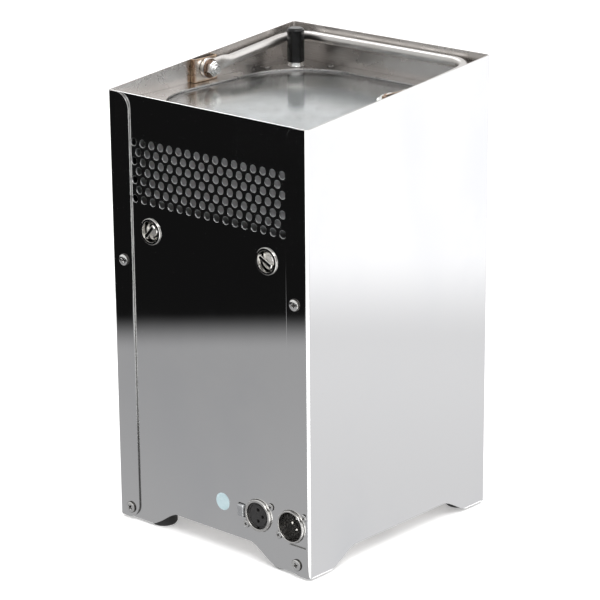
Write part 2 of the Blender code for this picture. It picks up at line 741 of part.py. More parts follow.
def handle_bracket(side, word):
    """A folded bracket on the side wall, with the stud that the handle turns on."""
    back, face = INNER_X, BRACKET_FACE
    low, high = PIVOT_Y - BRACKET_WIDTH / 2, PIVOT_Y + BRACKET_WIDTH / 2
    outline = [
        (back, low),
        (face, low),
        (face, high),
        (back, high),
        (back, high - BRACKET_SHEET),
        (face + BRACKET_SHEET, high - BRACKET_SHEET),
        (face + BRACKET_SHEET, low + BRACKET_SHEET),
        (back, low + BRACKET_SHEET),
    ]
    outline = [(side * x, y) for x, y in outline]
    bottom = DECK_TOP + GAP
    bracket = prism(f"handle_bracket_{word}", outline, "Z", bottom, bottom + BRACKET_HEIGHT, SATIN_STEEL)
    tip = EYE_THICK + WASHER_THICK + NUT_THICK + 3 * GAP + 2 * MM
    facing = "+X" if side < 0 else "-X"
    place = (side * face, PIVOT_Y, PIVOT_Z)
    join(bracket, disc(f"stud_{word}", STUD_RADIUS, -MM, tip, place, facing, steps=16))
    return bracket


def handle_fixings(side, word):
    """The washer and the lock nut that keep the eye on its stud."""
    facing = "+X" if side < 0 else "-X"
    place = (side * BRACKET_FACE, PIVOT_Y, PIVOT_Z)
    bore = STUD_RADIUS + GAP
    start = EYE_THICK + 2 * GAP
    tube_ring(f"handle_washer_{word}", WASHER_RADIUS, bore, start, start + WASHER_THICK, place, facing, ZINC)
    start += WASHER_THICK + GAP
    nut = tube_ring(f"handle_nut_{word}", NUT_RADIUS, bore, start, start + NUT_THICK, place, facing, ZINC, 6)
    return nut


def carry_handle():
    """A bar bent to a U, with a flat eye at each end, lying folded in the recess."""
    front_y = -HALF_Y + SHEET + BAR_FRONT_GAP
    front_z = rim_height(front_y) - BAR_FRONT_DROP
    start = Vector((BAR_X, PIVOT_Y, PIVOT_Z))
    front = Vector((BAR_X, front_y, front_z))
    away = (front - start).normalized()
    leg = start + away * 18 * MM
    mirrored = [Vector((-place.x, place.y, place.z)) for place in (front, leg)]
    path = rounded([leg, front, *mirrored], BAR_BEND, 7)

    curve = bpy.data.curves.new("bar", "CURVE")
    curve.dimensions = "3D"
    curve.bevel_depth = BAR_RADIUS
    curve.bevel_resolution = 2
    curve.use_fill_caps = True
    spline = curve.splines.new("POLY")
    spline.points.add(len(path) - 1)
    for point, place in zip(spline.points, path):
        point.co = (*place, 1)
    handle = add_object("carry_handle", mesh_of_curve(curve), STEEL)

    slope = math.atan2(away.z, -away.y)
    for side, word in ((-1, "left"), (1, "right")):
        outer = BRACKET_FACE - GAP
        turns = [math.pi / 2 * (step / 6 - 1) for step in range(13)]
        outline = [(EYE_RADIUS * math.cos(turn), EYE_RADIUS * math.sin(turn)) for turn in turns]
        neck = [(-24 * MM, 0.7 * BAR_RADIUS), (-24 * MM, -0.7 * BAR_RADIUS)]
        bore = [circle(STUD_RADIUS + GAP, (0, 0), 16)]
        ends = sorted((side * outer, side * (outer - EYE_THICK)))
        eye = prism(f"eye_{word}", outline + neck, "X", *ends, holes=bore)
        eye.rotation_euler.rotate_axis("Z", -slope)
        eye.location.y, eye.location.z = PIVOT_Y, PIVOT_Z
        join(handle, eye)
    hang(handle, axis_empty("handle_axis", (0, PIVOT_Y, PIVOT_Z)))
    return handle


# ---------------------------------------------------------------- antenna


def antenna():
    """The stub aerial of the wireless receiver and the nut that clamps it to the deck."""
    x, y = antenna_place()
    seat = DECK_TOP + GAP
    tube_ring("antenna_nut", HEX_NUT_RADIUS, ANTENNA_STEM + GAP, seat, seat + HEX_NUT_THICK, (x, y, 0), finish=ZINC, steps=6)
    low = seat + HEX_NUT_THICK + GAP
    high = low + ANTENNA_LENGTH
    profile = [
        (0, high),
        (ANTENNA_RADIUS - 1.5 * MM, high),
        (ANTENNA_RADIUS, high - 1.5 * MM),
        (ANTENNA_RADIUS, low),
        (ANTENNA_STEM, low),
        (ANTENNA_STEM, DECK_TOP - ANTENNA_STEM_LENGTH),
        (0, DECK_TOP - ANTENNA_STEM_LENGTH),
    ]
    return turned("antenna", profile, (x, y, 0), finish=BLACK)


def wireless_module():
    """The receiver in a screened can, hung in the front corner below the antenna."""
    x, y = antenna_place()
    top = DECK_TOP - ANTENNA_STEM_LENGTH - 2 * GAP
    low = (x - 2 * MM, INNER_FRONT + 3 * MM, top - 9 * MM)
    high = (INNER_X - 3 * MM, y + 20 * MM, top)
    return box("wireless_module", low, high, ZINC, MM, 1)


# ---------------------------------------------------------------- fasteners


def screw_mesh(name, head, shank, length):
    """A pan head with a cross recess on a plain shank, facing +Z from the seat at zero."""
    profile = [(0, 0.5 * head), (0.55 * head, 0.42 * head), (head, 0.12 * head), (head, 0)]
    profile += [(shank, 0), (shank, -length), (0, -length)]
    model = turned(name, profile, (0, 0, 0), steps=10)
    arm = 0.5 * head
    blade = 0.14 * head
    cut(
        model,
        box(f"{name}_slot_a", (-arm, -blade, 0.22 * head), (arm, blade, head)),
        box(f"{name}_slot_b", (-blade, -arm, 0.22 * head), (blade, arm, head)),
    )
    graph = bpy.context.evaluated_depsgraph_get()
    return bpy.data.meshes.new_from_object(model.evaluated_get(graph))


def screw(name, mesh, place, facing, turn):
    piece = add_object(name, mesh.copy(), ZINC)
    piece.rotation_euler = [math.radians(angle) for angle in FACINGS[facing]]
    piece.rotation_euler.rotate_axis("Z", math.radians(turn))
    piece.location = place
    return piece


def connector_screw_places(x):
    """Two screws across a connector's corners."""
    across, up = CONNECTOR_SCREW
    return [(x - across, CONNECTOR_Z + up), (x + across, CONNECTOR_Z - up)]


def screws():
    large = screw_mesh("casing_screw_pattern", CASING_SCREW_HEAD, 1.9 * MM, 9 * MM)
    for index, (x, z) in enumerate(casing_screw_places()):
        screw(f"casing_screw_{index + 1}", large, (x, HALF_Y + GAP, z), "+Y", 20 + 37 * index)
    small = screw_mesh("small_screw_pattern", SMALL_SCREW_HEAD, 1.4 * MM, 7 * MM)
    places = [place for x in connector_places().values() for place in connector_screw_places(x)]
    for index, (x, z) in enumerate(places):
        screw(f"connector_screw_{index + 1}", small, (x, PANEL_OUT + GAP, z), "+Y", 15 + 50 * index)
    for index, (x, y) in enumerate(deck_screw_places()):
        screw(f"deck_screw_{index + 1}", small, (x, y, DECK_TOP + GAP), "+Z", 30 * index)


def quarter_turn(side, word):
    """A recessed cup in the rear panel and the winged stud that turns in it."""
    place = (side * LATCH_X, PANEL_OUT, LATCH_Z)
    wall, floor = LATCH_CUP_RADIUS, -LATCH_CUP_DEPTH
    profile = [
        (LATCH_RIM_RADIUS, GAP + 0.5 * MM),
        (LATCH_RIM_RADIUS, GAP),
        (wall, GAP),
        (wall, floor),
        (LATCH_SHAFT_RADIUS + GAP, floor),
        (LATCH_SHAFT_RADIUS + GAP, floor + MM),
        (wall - MM, floor + MM),
        (wall - MM, GAP + 0.9 * MM),
    ]
    turned(f"latch_cup_{word}", profile, place, "+Y", STEEL, 24, ring=True)

    seat = floor + MM + GAP
    profile = [
        (0, seat + 2 * MM),
        (LATCH_STUD_RADIUS, seat + 2 * MM),
        (LATCH_STUD_RADIUS, seat),
        (LATCH_SHAFT_RADIUS, seat),
        (LATCH_SHAFT_RADIUS, floor - 5 * MM),
        (0, floor - 5 * MM),
    ]
    stud = turned(f"latch_stud_{word}", profile, place, "+Y", ZINC, 20)
    reach, half_width = LATCH_STUD_RADIUS - LATCH_WING_INSET, LATCH_WING_WIDTH / 2
    low = (-reach, seat + MM, -half_width)
    high = (reach, seat + 2 * MM + LATCH_WING_HEIGHT, half_width)
    cam_low = (-9 * MM, floor - 5 * MM, -2.5 * MM)
    cam_high = (9 * MM, floor - 3 * MM, 2.5 * MM)
    for name, start, end in (("wing", low, high), ("cam", cam_low, cam_high)):
        bar = box(f"latch_{name}_{word}", start, end)
        bar.location = Vector(place) + bar.location
        bar.rotation_euler.y = -math.radians(LATCH_TURNS[word])
        join(stud, bar)
    hang(stud, axis_empty(f"latch_axis_{word}", place))


# ---------------------------------------------------------------- data connectors


def connector_shell(name, x, extra, bore):
    """A round metal shell through the panel, on a flange behind it."""
    ring_out = PANEL_OUT + RING_PROUD
    place = (x, ring_out, CONNECTOR_Z)
    profile = [
        (RING_RADIUS - 0.4 * MM, 0),
        (RING_RADIUS, -0.4 * MM),
        (RING_RADIUS, -RING_DEPTH),
        (bore, -RING_DEPTH),
        (bore, -0.3 * MM),
        (bore + 0.3 * MM, 0),
    ]
    shell = turned(name, profile, place, "+Y", ZINC, 20, ring=True)
    half_x, half_z = CONNECTOR_FLANGE
    flange_out = PANEL_IN - GAP
    outline = [(x - half_x, CONNECTOR_Z - half_z), (x + half_x + extra, CONNECTOR_Z - half_z)]
    outline += [(u, 2 * CONNECTOR_Z - v) for u, v in outline[::-1]]
    holes = [circle(bore + 0.5 * MM, (x, CONNECTOR_Z), 20)]
    holes += [circle(1.8 * MM, place, 8) for place in connector_screw_places(x)]
    if extra:
        near, far = TAB_NEAR - TAB_SLOT_MARGIN, TAB_FAR + TAB_SLOT_MARGIN
        half = TAB_HALF_HEIGHT + TAB_SLOT_MARGIN
        slot = [(near, -half), (far, -half), (far, half), (near, half)]
        holes.append([(x + u, CONNECTOR_Z + v) for u, v in slot])
    join(shell, prism(f"{name}_flange", outline, "Y", flange_out - 1.8 * MM, flange_out, holes=holes))
    return shell


def contact_places(x, side):
    """The two outer contacts above each other and the third one beside them."""
    places = [(0, CONTACT_OFFSET), (0, -CONTACT_OFFSET), (side * CONTACT_OFFSET, 0)]
    return [(x + u, CONNECTOR_Z + v) for u, v in places]


def dmx_in():
    """The data input: a socket insert with three bores and a sprung release tab."""
    x = connector_places()["dmx_in"]
    connector_shell("dmx_in_shell", x, 6 * MM, INSERT_RADIUS + GAP)
    front = PANEL_OUT + 0.6 * MM
    holes = [circle(CONTACT_RADIUS, place, 8) for place in contact_places(x, -1)]
    insert_ends = (front - RING_DEPTH + 3 * MM, front)
    face = circle(INSERT_RADIUS, (x, CONNECTOR_Z), 20)
    prism("dmx_in_insert", face, "Y", *insert_ends, BLACK, holes)

    low = (x + TAB_NEAR, PANEL_IN - 6 * MM, CONNECTOR_Z - TAB_HALF_HEIGHT)
    high = (x + TAB_FAR, PANEL_OUT + 2.6 * MM, CONNECTOR_Z + TAB_HALF_HEIGHT)
    tab = box("dmx_in_latch", low, high, ZINC, 0.6 * MM, 1)
    hang(tab, axis_empty("dmx_in_latch_slide", tab.location))


def dmx_out():
    """The data output: three pins standing in the bottom of a round cup."""
    x = connector_places()["dmx_out"]
    bore = RING_RADIUS - 1.1 * MM
    connector_shell("dmx_out_shell", x, 0, bore)
    back = PANEL_OUT + RING_PROUD - RING_DEPTH
    place = (x, back, CONNECTOR_Z)
    insert = disc("dmx_out_insert", bore - GAP, 0, 5 * MM, place, "+Y", BLACK, 20)
    for index, (px, pz) in enumerate(contact_places(x, 1)):
        pin = [(0, 15 * MM), (0.6 * MM, 15 * MM), (1.2 * MM, 14 * MM), (1.2 * MM, 2 * MM), (0, 2 * MM)]
        join(insert, turned(f"contact_{index}", pin, (px, back, pz), "+Y", steps=8))
    return insert


# ---------------------------------------------------------------- base and controls


def well_ends():
    return INNER_FRONT + WELL_FRONT, INNER_REAR - WELL_REAR


def display_place():
    """The middle of the display, on the strip right of the well."""
    return (WELL_WIDTH / 2 + INNER_X) / 2 + 2 * MM, -10 * MM


def button_places():
    x, y = display_place()
    start = y + DISPLAY_SIZE[1] / 2 + BUTTON_PITCH
    return [(x, start + BUTTON_PITCH * index) for index in range(BUTTON_COUNT)]


def foot_places():
    rear_x, rear_y = FOOT_REAR_INSET
    front_x, front_y = FOOT_FRONT_INSET
    places = {}
    for side, word in ((-1, "left"), (1, "right")):
        places[f"rear_{word}"] = (side * (HALF_X - rear_x), HALF_Y - rear_y)
        places[f"front_{word}"] = (side * (HALF_X - front_x), -HALF_Y + front_y)
    return places


def base_plate():
    base = pan("base_plate", INNER_X, INNER_FRONT, INNER_REAR, BASE_HEIGHT, -BASE_FLANGE, SATIN_STEEL)
    low, high = BASE_HEIGHT - OVERSHOOT, BASE_HEIGHT + OVERSHOOT
    front, rear = well_ends()
    cut(base, box("well_cut", (-WELL_WIDTH / 2, front, low), (WELL_WIDTH / 2, rear, high)))
    x, y = display_place()
    half_x, half_y = DISPLAY_SIZE[0] / 2 + GAP, DISPLAY_SIZE[1] / 2 + GAP
    cut(base, box("display_cut", (x - half_x, y - half_y, low), (x + half_x, y + half_y, high)))
    for index, (bx, by) in enumerate(button_places()):
        cut(base, disc(f"button_hole_{index}", BUTTON_RADIUS + GAP, low, high, (bx, by, 0), steps=16))
    half_x, half_y = SWITCH_SIZE[0] / 2 - MM, SWITCH_SIZE[1] / 2 - MM
    cut(base, box("switch_cut", (-x - half_x, -half_y, low), (-x + half_x, half_y, high)))
    return base


def control_well():
    """The recess under the unit where the power lead is plugged in."""
    front, rear = well_ends()
    lip_level = BASE_HEIGHT + SHEET + GAP
    roof = lip_level + WELL_HEIGHT
    half = WELL_WIDTH / 2
    well = pan("control_well", half, front, rear, roof, WELL_HEIGHT, SATIN_STEEL)
    middle_y, half_y = (front + rear) / 2, (rear - front) / 2
    grow, shrink = WELL_FLANGE, -SHEET / 2
    lip = rounded_rectangle(half + grow, half_y + grow, PAN_CORNER, 2, (0, middle_y))
    hole = rounded_rectangle(half + shrink, half_y + shrink, PAN_CORNER, 2, (0, middle_y))
    join(well, prism("well_lip", lip, "Z", lip_level, lip_level + SHEET, holes=[hole]))
    width, height, _ = INLET_SIZE
    middle = inlet_height()
    low = (-width / 2 + MM, front - OVERSHOOT, middle - height / 2 + MM)
    high = (width / 2 - MM, front + OVERSHOOT, middle + height / 2 - MM)
    cut(well, box("inlet_cut", low, high))
    return well


def inlet_height():
    return BASE_HEIGHT + SHEET + GAP + WELL_HEIGHT / 2


def power_inlet():
    """A three-pin mains inlet on the front wall of the well."""
    front = well_ends()[0]
    width, height, depth = INLET_SIZE
    middle = inlet_height()
    face = front + SHEET + GAP
    low = (-width / 2, face, middle - height / 2)
    high = (width / 2, face + 2 * MM, middle + height / 2)
    inlet = box("power_inlet", low, high, BLACK)
    neck = (width / 2 - MM - GAP, height / 2 - MM - GAP)
    body_low = (-neck[0], face - depth, middle - neck[1])
    body_high = (neck[0], face + MM, middle + neck[1])
    join(inlet, box("inlet_body", body_low, body_high))
    hollow_low = (-neck[0] + 1.2 * MM, face - 14 * MM, middle - neck[1] + 1.2 * MM)
    hollow_high = (neck[0] - 1.2 * MM, face + OVERSHOOT, middle + neck[1] - 1.2 * MM)
    cut(inlet, box("inlet_hollow", hollow_low, hollow_high))
    for index, x in enumerate((-7 * MM, 0, 7 * MM)):
        rise = 2 * MM if index == 1 else -2 * MM
        pin_low = (x - MM, face - 16 * MM, middle + rise - 2 * MM)
        pin_high = (x + MM, face - 2 * MM, middle + rise + 2 * MM)
        join(inlet, box(f"inlet_pin_{index}", pin_low, pin_high))
    return inlet


def display_and_buttons():
    x, y = display_place()
    width, length, depth = DISPLAY_SIZE
    face = BASE_HEIGHT - GAP
    low = (x - width / 2, y - length / 2, face)
    high = (x + width / 2, y + length / 2, face + depth)
    box("display", low, high, GLASS_DARK, 0.6 * MM, 1)
    inside = BASE_HEIGHT + SHEET + GAP
    profile = [
        (0, inside + 3 * MM),
        (BUTTON_RADIUS + 1.2 * MM, inside + 3 * MM),
        (BUTTON_RADIUS + 1.2 * MM, inside),
        (BUTTON_RADIUS, inside),
        (BUTTON_RADIUS, face - 1.4 * MM),
        (BUTTON_RADIUS - 0.6 * MM, face - 2 * MM),
        (0, face - 2 * MM),
    ]
    for index, (bx, by) in enumerate(button_places()):
        turned(f"menu_button_{index + 1}", profile, (bx, by, 0), finish=BLACK, steps=16)


def power_switch():
    """A rocker switch beside the well, with the rocker lying in its off position."""
    x = -display_place()[0]
    width, length, depth = SWITCH_SIZE
    under = BASE_HEIGHT - GAP
    low = (x - width / 2, -length / 2, under - 1.6 * MM)
    high = (x + width / 2, length / 2, under)
    body = box("power_switch_body", low, high, BLACK)
    inset = MM + GAP
    shaft_low = (x - width / 2 + inset, -length / 2 + inset, under - MM)
    shaft_high = (x + width / 2 - inset, length / 2 - inset, under + depth)
    join(body, box("switch_shaft", shaft_low, shaft_high))
    wall = inset + 1.2 * MM
    hole_low = (x - width / 2 + wall, -length / 2 + wall, under - OVERSHOOT)
    hole_high = (x + width / 2 - wall, length / 2 - wall, under + depth - 2 * MM)
    cut(body, box("switch_hollow", hole_low, hole_high))

    pivot = (x, 0, under + 5 * MM)
    half = length / 2 - wall - 1.4 * MM
    outline = [
        (-half, -7 * MM),
        (0, -5.2 * MM),
        (half, -7 * MM),
        (0.8 * half, 0.5 * MM),
        (0.3 * half, 2.5 * MM),
        (-0.3 * half, 2.5 * MM),
        (-0.8 * half, 0.5 * MM),
    ]
    reach = width / 2 - wall - GAP
    rocker = prism("power_switch_rocker", outline, "X", x - reach, x + reach, BLACK)
    rocker.location.y, rocker.location.z = pivot[1], pivot[2]
    rocker.rotation_euler.rotate_axis("Z", -math.radians(ROCKER_TILT))
    hang(rocker, axis_empty("switch_axis", pivot))


def feet():
    """Tall rubber feet under the base plate, just longer than the skirt."""
    top = BASE_HEIGHT - GAP
    profile = [
        (0, top),
        (FOOT_RADIUS - 0.6 * MM, top),
        (FOOT_RADIUS, top - 0.6 * MM),
        (FOOT_RADIUS, -FOOT_DROP + 1.2 * MM),
        (FOOT_RADIUS - 1.2 * MM, -FOOT_DROP),
        (0, -FOOT_DROP),
    ]
    for word, (x, y) in foot_places().items():
        turned(f"foot_{word}", profile, (x, y, 0), finish=RUBBER, steps=16)


# ---------------------------------------------------------------- equipment


def equipment():
    """The shelf with the battery, the charger and the driver board on it."""
    rear = INNER_REAR - SHELF_REAR_GAP
    pan("equipment_shelf", INNER_X, INNER_FRONT, rear, SHELF_HEIGHT, -SHELF_FLANGE, ALUMINIUM)
    floor = SHELF_HEIGHT + SHEET + GAP
    half = INNER_X - SHEET - 6 * EQUIPMENT_CLEARANCE
    front = INNER_FRONT + SHEET + EQUIPMENT_CLEARANCE
    battery_end = front + BATTERY_DEPTH
    battery_high = (half, battery_end, floor + BATTERY_HEIGHT)
    box("battery_pack", (-half, front, floor), battery_high, PACK_BLUE, 4 * MM)

    start, end = battery_end + 4 * EQUIPMENT_CLEARANCE, rear - SHEET - 2 * EQUIPMENT_CLEARANCE
    edge = half - 4 * EQUIPMENT_CLEARANCE
    supply_high = (edge, end - EQUIPMENT_CLEARANCE, floor + SUPPLY_HEIGHT)
    supply_low = (-edge, start + EQUIPMENT_CLEARANCE, floor)
    supply = box("power_supply", supply_low, supply_high, ALUMINIUM, MM, 1)
    socket_low = (-edge + 8 * MM, end - 15 * MM, floor + SUPPLY_HEIGHT - MM)
    join(supply, box("supply_terminals", socket_low, (-edge + 40 * MM, end - 8 * MM, floor + SUPPLY_HEIGHT + 6 * MM)))

    level = floor + DRIVER_RAISE
    board = box("driver_board", (-half, start, level), (half, end, level + BOARD_THICK), BOARD_GREEN)
    for index, (sx, y) in enumerate([(-1, start), (1, start), (-1, end), (1, end)]):
        inward = 4 * MM if y == start else -4 * MM
        place = (sx * (half - 4 * MM), y + inward, 0)
        join(board, disc(f"standoff_{index}", 2.5 * MM, floor, level + 3 * MM, place, steps=8))
    for index in range(4):
        x = (index - 1.5) * half / 2.4
        low = (x - 9 * MM, start + 12 * MM, level + MM)
        high = (x + 9 * MM, start + 12 * MM + (22 - 3 * index) * MM, level + (13 - 2 * index) * MM)
        join(board, box(f"driver_block_{index}", low, high))


def build():
    outer_casing()
    rear_panel()
    top_deck()
    window_parts()
    lens_array()
    led_board()
    heat_sink()
    fan()
    carry_handle()
    for side, word in ((-1, "left"), (1, "right")):
        engine_bracket(side, word)
        handle_bracket(side, word)
        handle_fixings(side, word)
        quarter_turn(side, word)
    antenna()
    wireless_module()
    screws()
    dmx_in()
    dmx_out()
    base_plate()
    control_well()
    power_inlet()
    display_and_buttons()
    power_switch()
    feet()
    equipment()


build()
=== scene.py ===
import json
import math

import bmesh
import bpy
from mathutils import Matrix, Vector


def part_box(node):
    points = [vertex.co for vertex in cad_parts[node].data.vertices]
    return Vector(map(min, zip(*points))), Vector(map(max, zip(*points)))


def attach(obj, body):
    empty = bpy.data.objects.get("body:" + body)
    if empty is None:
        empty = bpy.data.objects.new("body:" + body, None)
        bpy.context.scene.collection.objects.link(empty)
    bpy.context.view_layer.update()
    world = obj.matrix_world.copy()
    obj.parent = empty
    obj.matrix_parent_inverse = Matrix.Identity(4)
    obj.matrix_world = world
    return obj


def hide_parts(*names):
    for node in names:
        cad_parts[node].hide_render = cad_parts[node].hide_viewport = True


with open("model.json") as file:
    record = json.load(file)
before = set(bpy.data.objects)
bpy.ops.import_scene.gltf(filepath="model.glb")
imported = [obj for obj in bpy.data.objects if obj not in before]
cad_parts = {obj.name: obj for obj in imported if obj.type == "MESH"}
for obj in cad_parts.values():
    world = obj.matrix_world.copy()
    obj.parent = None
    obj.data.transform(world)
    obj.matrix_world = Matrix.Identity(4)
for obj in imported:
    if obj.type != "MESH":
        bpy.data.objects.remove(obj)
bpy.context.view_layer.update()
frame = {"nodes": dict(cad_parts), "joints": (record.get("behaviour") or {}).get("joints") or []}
nodes = frame["nodes"]
mm = 0.001
print("frame loaded:", len(nodes), "nodes")


# ---- shaping helpers

turnOf = {
    "+Z": Matrix.Identity(4),
    "-Z": Matrix.Rotation(math.pi, 4, "X"),
    "+X": Matrix.Rotation(math.pi / 2, 4, "Y"),
    "-X": Matrix.Rotation(-math.pi / 2, 4, "Y"),
    "+Y": Matrix.Rotation(-math.pi / 2, 4, "X"),
}


def put(shape, place, facing="+Z", twist=0):
    # a shape made facing +Z is twisted about Z, turned to its facing and moved to its place
    move = Matrix.Translation(place) @ turnOf[facing] @ Matrix.Rotation(math.radians(twist), 4, "Z")
    bmesh.ops.transform(shape, matrix=move, verts=shape.verts)
    return shape


def clean(shape):
    bmesh.ops.remove_doubles(shape, verts=shape.verts, dist=1e-6)
    bmesh.ops.recalc_face_normals(shape, faces=shape.faces)
    return shape


def spun(profile, steps=48, closed=False):
    # a profile of (radius, height) spun once about Z
    shape = bmesh.new()
    chain = [shape.verts.new((radius, 0, height)) for radius, height in profile]
    pairs = list(zip(chain, chain[1:]))
    if closed:
        pairs.append((chain[-1], chain[0]))
    edges = [shape.edges.new(pair) for pair in pairs]
    bmesh.ops.spin(
        shape, geom=chain + edges, axis=(0, 0, 1), cent=(0, 0, 0),
        steps=steps, angle=2 * math.pi, use_merge=True,
    )
    return clean(shape)


def soften(shape, width, segments=2, limit=30):
    # rounds every edge that is sharper than the limit
    sharp = [
        edge for edge in shape.edges
        if len(edge.link_faces) == 2 and edge.calc_face_angle() > math.radians(limit)
    ]
    bmesh.ops.bevel(
        shape, geom=sharp, offset=width, offset_type="OFFSET", affect="EDGES",
        segments=segments, profile=0.5, clamp_overlap=True, material=-1,
    )
    return shape


def block(low, high):
    low, high = Vector(low), Vector(high)
    shape = bmesh.new()
    bmesh.ops.create_cube(shape, size=1)
    bmesh.ops.scale(shape, verts=shape.verts, vec=high - low)
    bmesh.ops.translate(shape, verts=shape.verts, vec=(low + high) / 2)
    return shape


def drum(radius, low, high, steps=32):
    shape = bmesh.new()
    bmesh.ops.create_cone(
        shape, cap_ends=True, segments=steps, radius1=radius, radius2=radius, depth=high - low,
    )
    bmesh.ops.translate(shape, verts=shape.verts, vec=(0, 0, (low + high) / 2))
    return shape


def rounded(points, radius, steps=8, closed=True):
    # a path whose corners are arcs
    points = [Vector((*point, 0)) if len(point) == 2 else Vector(point) for point in points]
    path = []
    for index, corner in enumerate(points):
        if not closed and index in (0, len(points) - 1):
            path.append(corner)
            continue
        before = (points[index - 1] - corner).normalized()
        after = (points[(index + 1) % len(points)] - corner).normalized()
        half = before.angle(after) / 2
        middle = corner + (before + after).normalized() * radius / math.sin(half)
        start = corner + before * radius / math.tan(half) - middle
        end = corner + after * radius / math.tan(half) - middle
        swing = start.cross(end).normalized()
        for step in range(steps + 1):
            path.append(middle + Matrix.Rotation((math.pi - 2 * half) * step / steps, 3, swing) @ start)
    return path


def roundedBox(halfX, halfY, radius, steps=8, centre=(0, 0)):
    x, y = centre
    corners = [(halfX, halfY), (-halfX, halfY), (-halfX, -halfY), (halfX, -halfY)]
    return rounded([(x + u, y + v) for u, v in corners], radius, steps)


def hoop(radius, centre=(0, 0), sides=32):
    x, y = centre
    turns = [2 * math.pi * side / sides for side in range(sides)]
    return [(x + radius * math.cos(turn), y + radius * math.sin(turn)) for turn in turns]


def signedArea(loop):
    return sum(a[0] * b[1] - b[0] * a[1] for a, b in zip(loop, loop[1:] + loop[:1])) / 2


def plate(outline, low, high, axis="Z", holes=(), rim=0):
    # a filled flat curve given its thickness, with its edges rounded by rim
    curve = bpy.data.curves.new("plate", "CURVE")
    curve.dimensions = "2D"
    curve.fill_mode = "BOTH"
    curve.extrude = (high - low) / 2 - rim
    curve.bevel_depth = rim
    curve.bevel_resolution = 1
    curve.offset = -rim
    for index, loop in enumerate([outline, *holes]):
        loop = [tuple(point)[:2] for point in loop]
        if (signedArea(loop) > 0) != (index == 0):
            loop.reverse()
        spline = curve.splines.new("POLY")
        spline.points.add(len(loop) - 1)
        for point, (x, y) in zip(spline.points, loop):
            point.co = (x, y, 0, 1)
        spline.use_cyclic_u = True
    holder = bpy.data.objects.new("plate", curve)
    bpy.context.scene.collection.objects.link(holder)
    graph = bpy.context.evaluated_depsgraph_get()
    mesh = bpy.data.meshes.new_from_object(holder.evaluated_get(graph))
    shape = bmesh.new()
    shape.from_mesh(mesh)
    bpy.data.objects.remove(holder)
    bpy.data.meshes.remove(mesh)
    bmesh.ops.translate(shape, verts=shape.verts, vec=(0, 0, (low + high) / 2))
    if axis == "Y":
        bmesh.ops.transform(shape, matrix=Matrix.Rotation(math.pi / 2, 4, "X"), verts=shape.verts)
        bmesh.ops.translate(shape, verts=shape.verts, vec=(0, low + high, 0))
    if axis == "X":
        stand = Matrix.Rotation(math.pi / 2, 4, "Z") @ Matrix.Rotation(math.pi / 2, 4, "X")
        bmesh.ops.transform(shape, matrix=stand, verts=shape.verts)
    clean(shape)
    bmesh.ops.dissolve_limit(shape, angle_limit=math.radians(0.5), verts=shape.verts, edges=shape.edges)
    return shape


def merged(*shapes):
    # several shapes in one bmesh
    whole = shapes[0]
    for shape in shapes[1:]:
        mesh = bpy.data.meshes.new("part")
        shape.to_mesh(mesh)
        shape.free()
        whole.from_mesh(mesh)
        bpy.data.meshes.remove(mesh)
    return whole


def holderOf(shape):
    mesh = bpy.data.meshes.new("holder")
    shape.to_mesh(mesh)
    shape.free()
    holder = bpy.data.objects.new("holder", mesh)
    bpy.context.scene.collection.objects.link(holder)
    return holder


def combine(shape, tools, operation):
    # one Boolean for each tool; the result is a new bmesh
    target = holderOf(shape)
    holders = [holderOf(tool) for tool in tools]
    for holder in holders:
        step = target.modifiers.new("step", "BOOLEAN")
        step.operation = operation
        step.object = holder
    graph = bpy.context.evaluated_depsgraph_get()
    mesh = bpy.data.meshes.new_from_object(target.evaluated_get(graph))
    result = bmesh.new()
    result.from_mesh(mesh)
    for holder in [target, *holders]:
        bpy.data.objects.remove(holder)
    bpy.data.meshes.remove(mesh)
    bmesh.ops.remove_doubles(result, verts=result.verts, dist=1e-6)
    bmesh.ops.dissolve_limit(result, angle_limit=math.radians(0.5), verts=result.verts, edges=result.edges)
    return result


def cut(shape, *tools):
    return combine(shape, tools, "DIFFERENCE")


def fuse(shape, *tools):
    return combine(shape, tools, "UNION")


def copyOf(node, width=0, segments=2):
    # the CAD node's own form, merged, with its edges rounded
    shape = bmesh.new()
    shape.from_mesh(nodes[node].data)
    bmesh.ops.remove_doubles(shape, verts=shape.verts, dist=1e-5)
    bmesh.ops.dissolve_limit(shape, angle_limit=math.radians(1), verts=shape.verts, edges=shape.edges)
    if width:
        soften(shape, width, segments)
    return shape


def piece(name, shape, finishes, body="housing", stands=(), sharp=40):
    # the finished piece: smooth shaded, riding on its body, in place of its nodes
    mesh = bpy.data.meshes.new(name)
    shape.to_mesh(mesh)
    shape.free()
    for finish in finishes if isinstance(finishes, list) else [finishes]:
        mesh.materials.append(finish)
    mesh.shade_smooth()
    mesh.set_sharp_from_angle(angle=math.radians(sharp))
    model = bpy.data.objects.new(name, mesh)
    bpy.context.scene.collection.objects.link(model)
    even = model.modifiers.new("even_faces", "WEIGHTED_NORMAL")
    even.keep_sharp = True
    even.weight = 100
    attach(model, body)
    if stands:
        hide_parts(*([stands] if isinstance(stands, str) else stands))
    return model


# ---- effects that several finishes share

def newGroup(name, inputs, outputs):
    group = bpy.data.node_groups.new(name, "ShaderNodeTree")
    for label, kind, value in inputs:
        socket = group.interface.new_socket(label, in_out="INPUT", socket_type=kind)
        socket.default_value = value
    for label, kind in outputs:
        group.interface.new_socket(label, in_out="OUTPUT", socket_type=kind)
    return group, addNode(group, "NodeGroupInput"), addNode(group, "NodeGroupOutput")


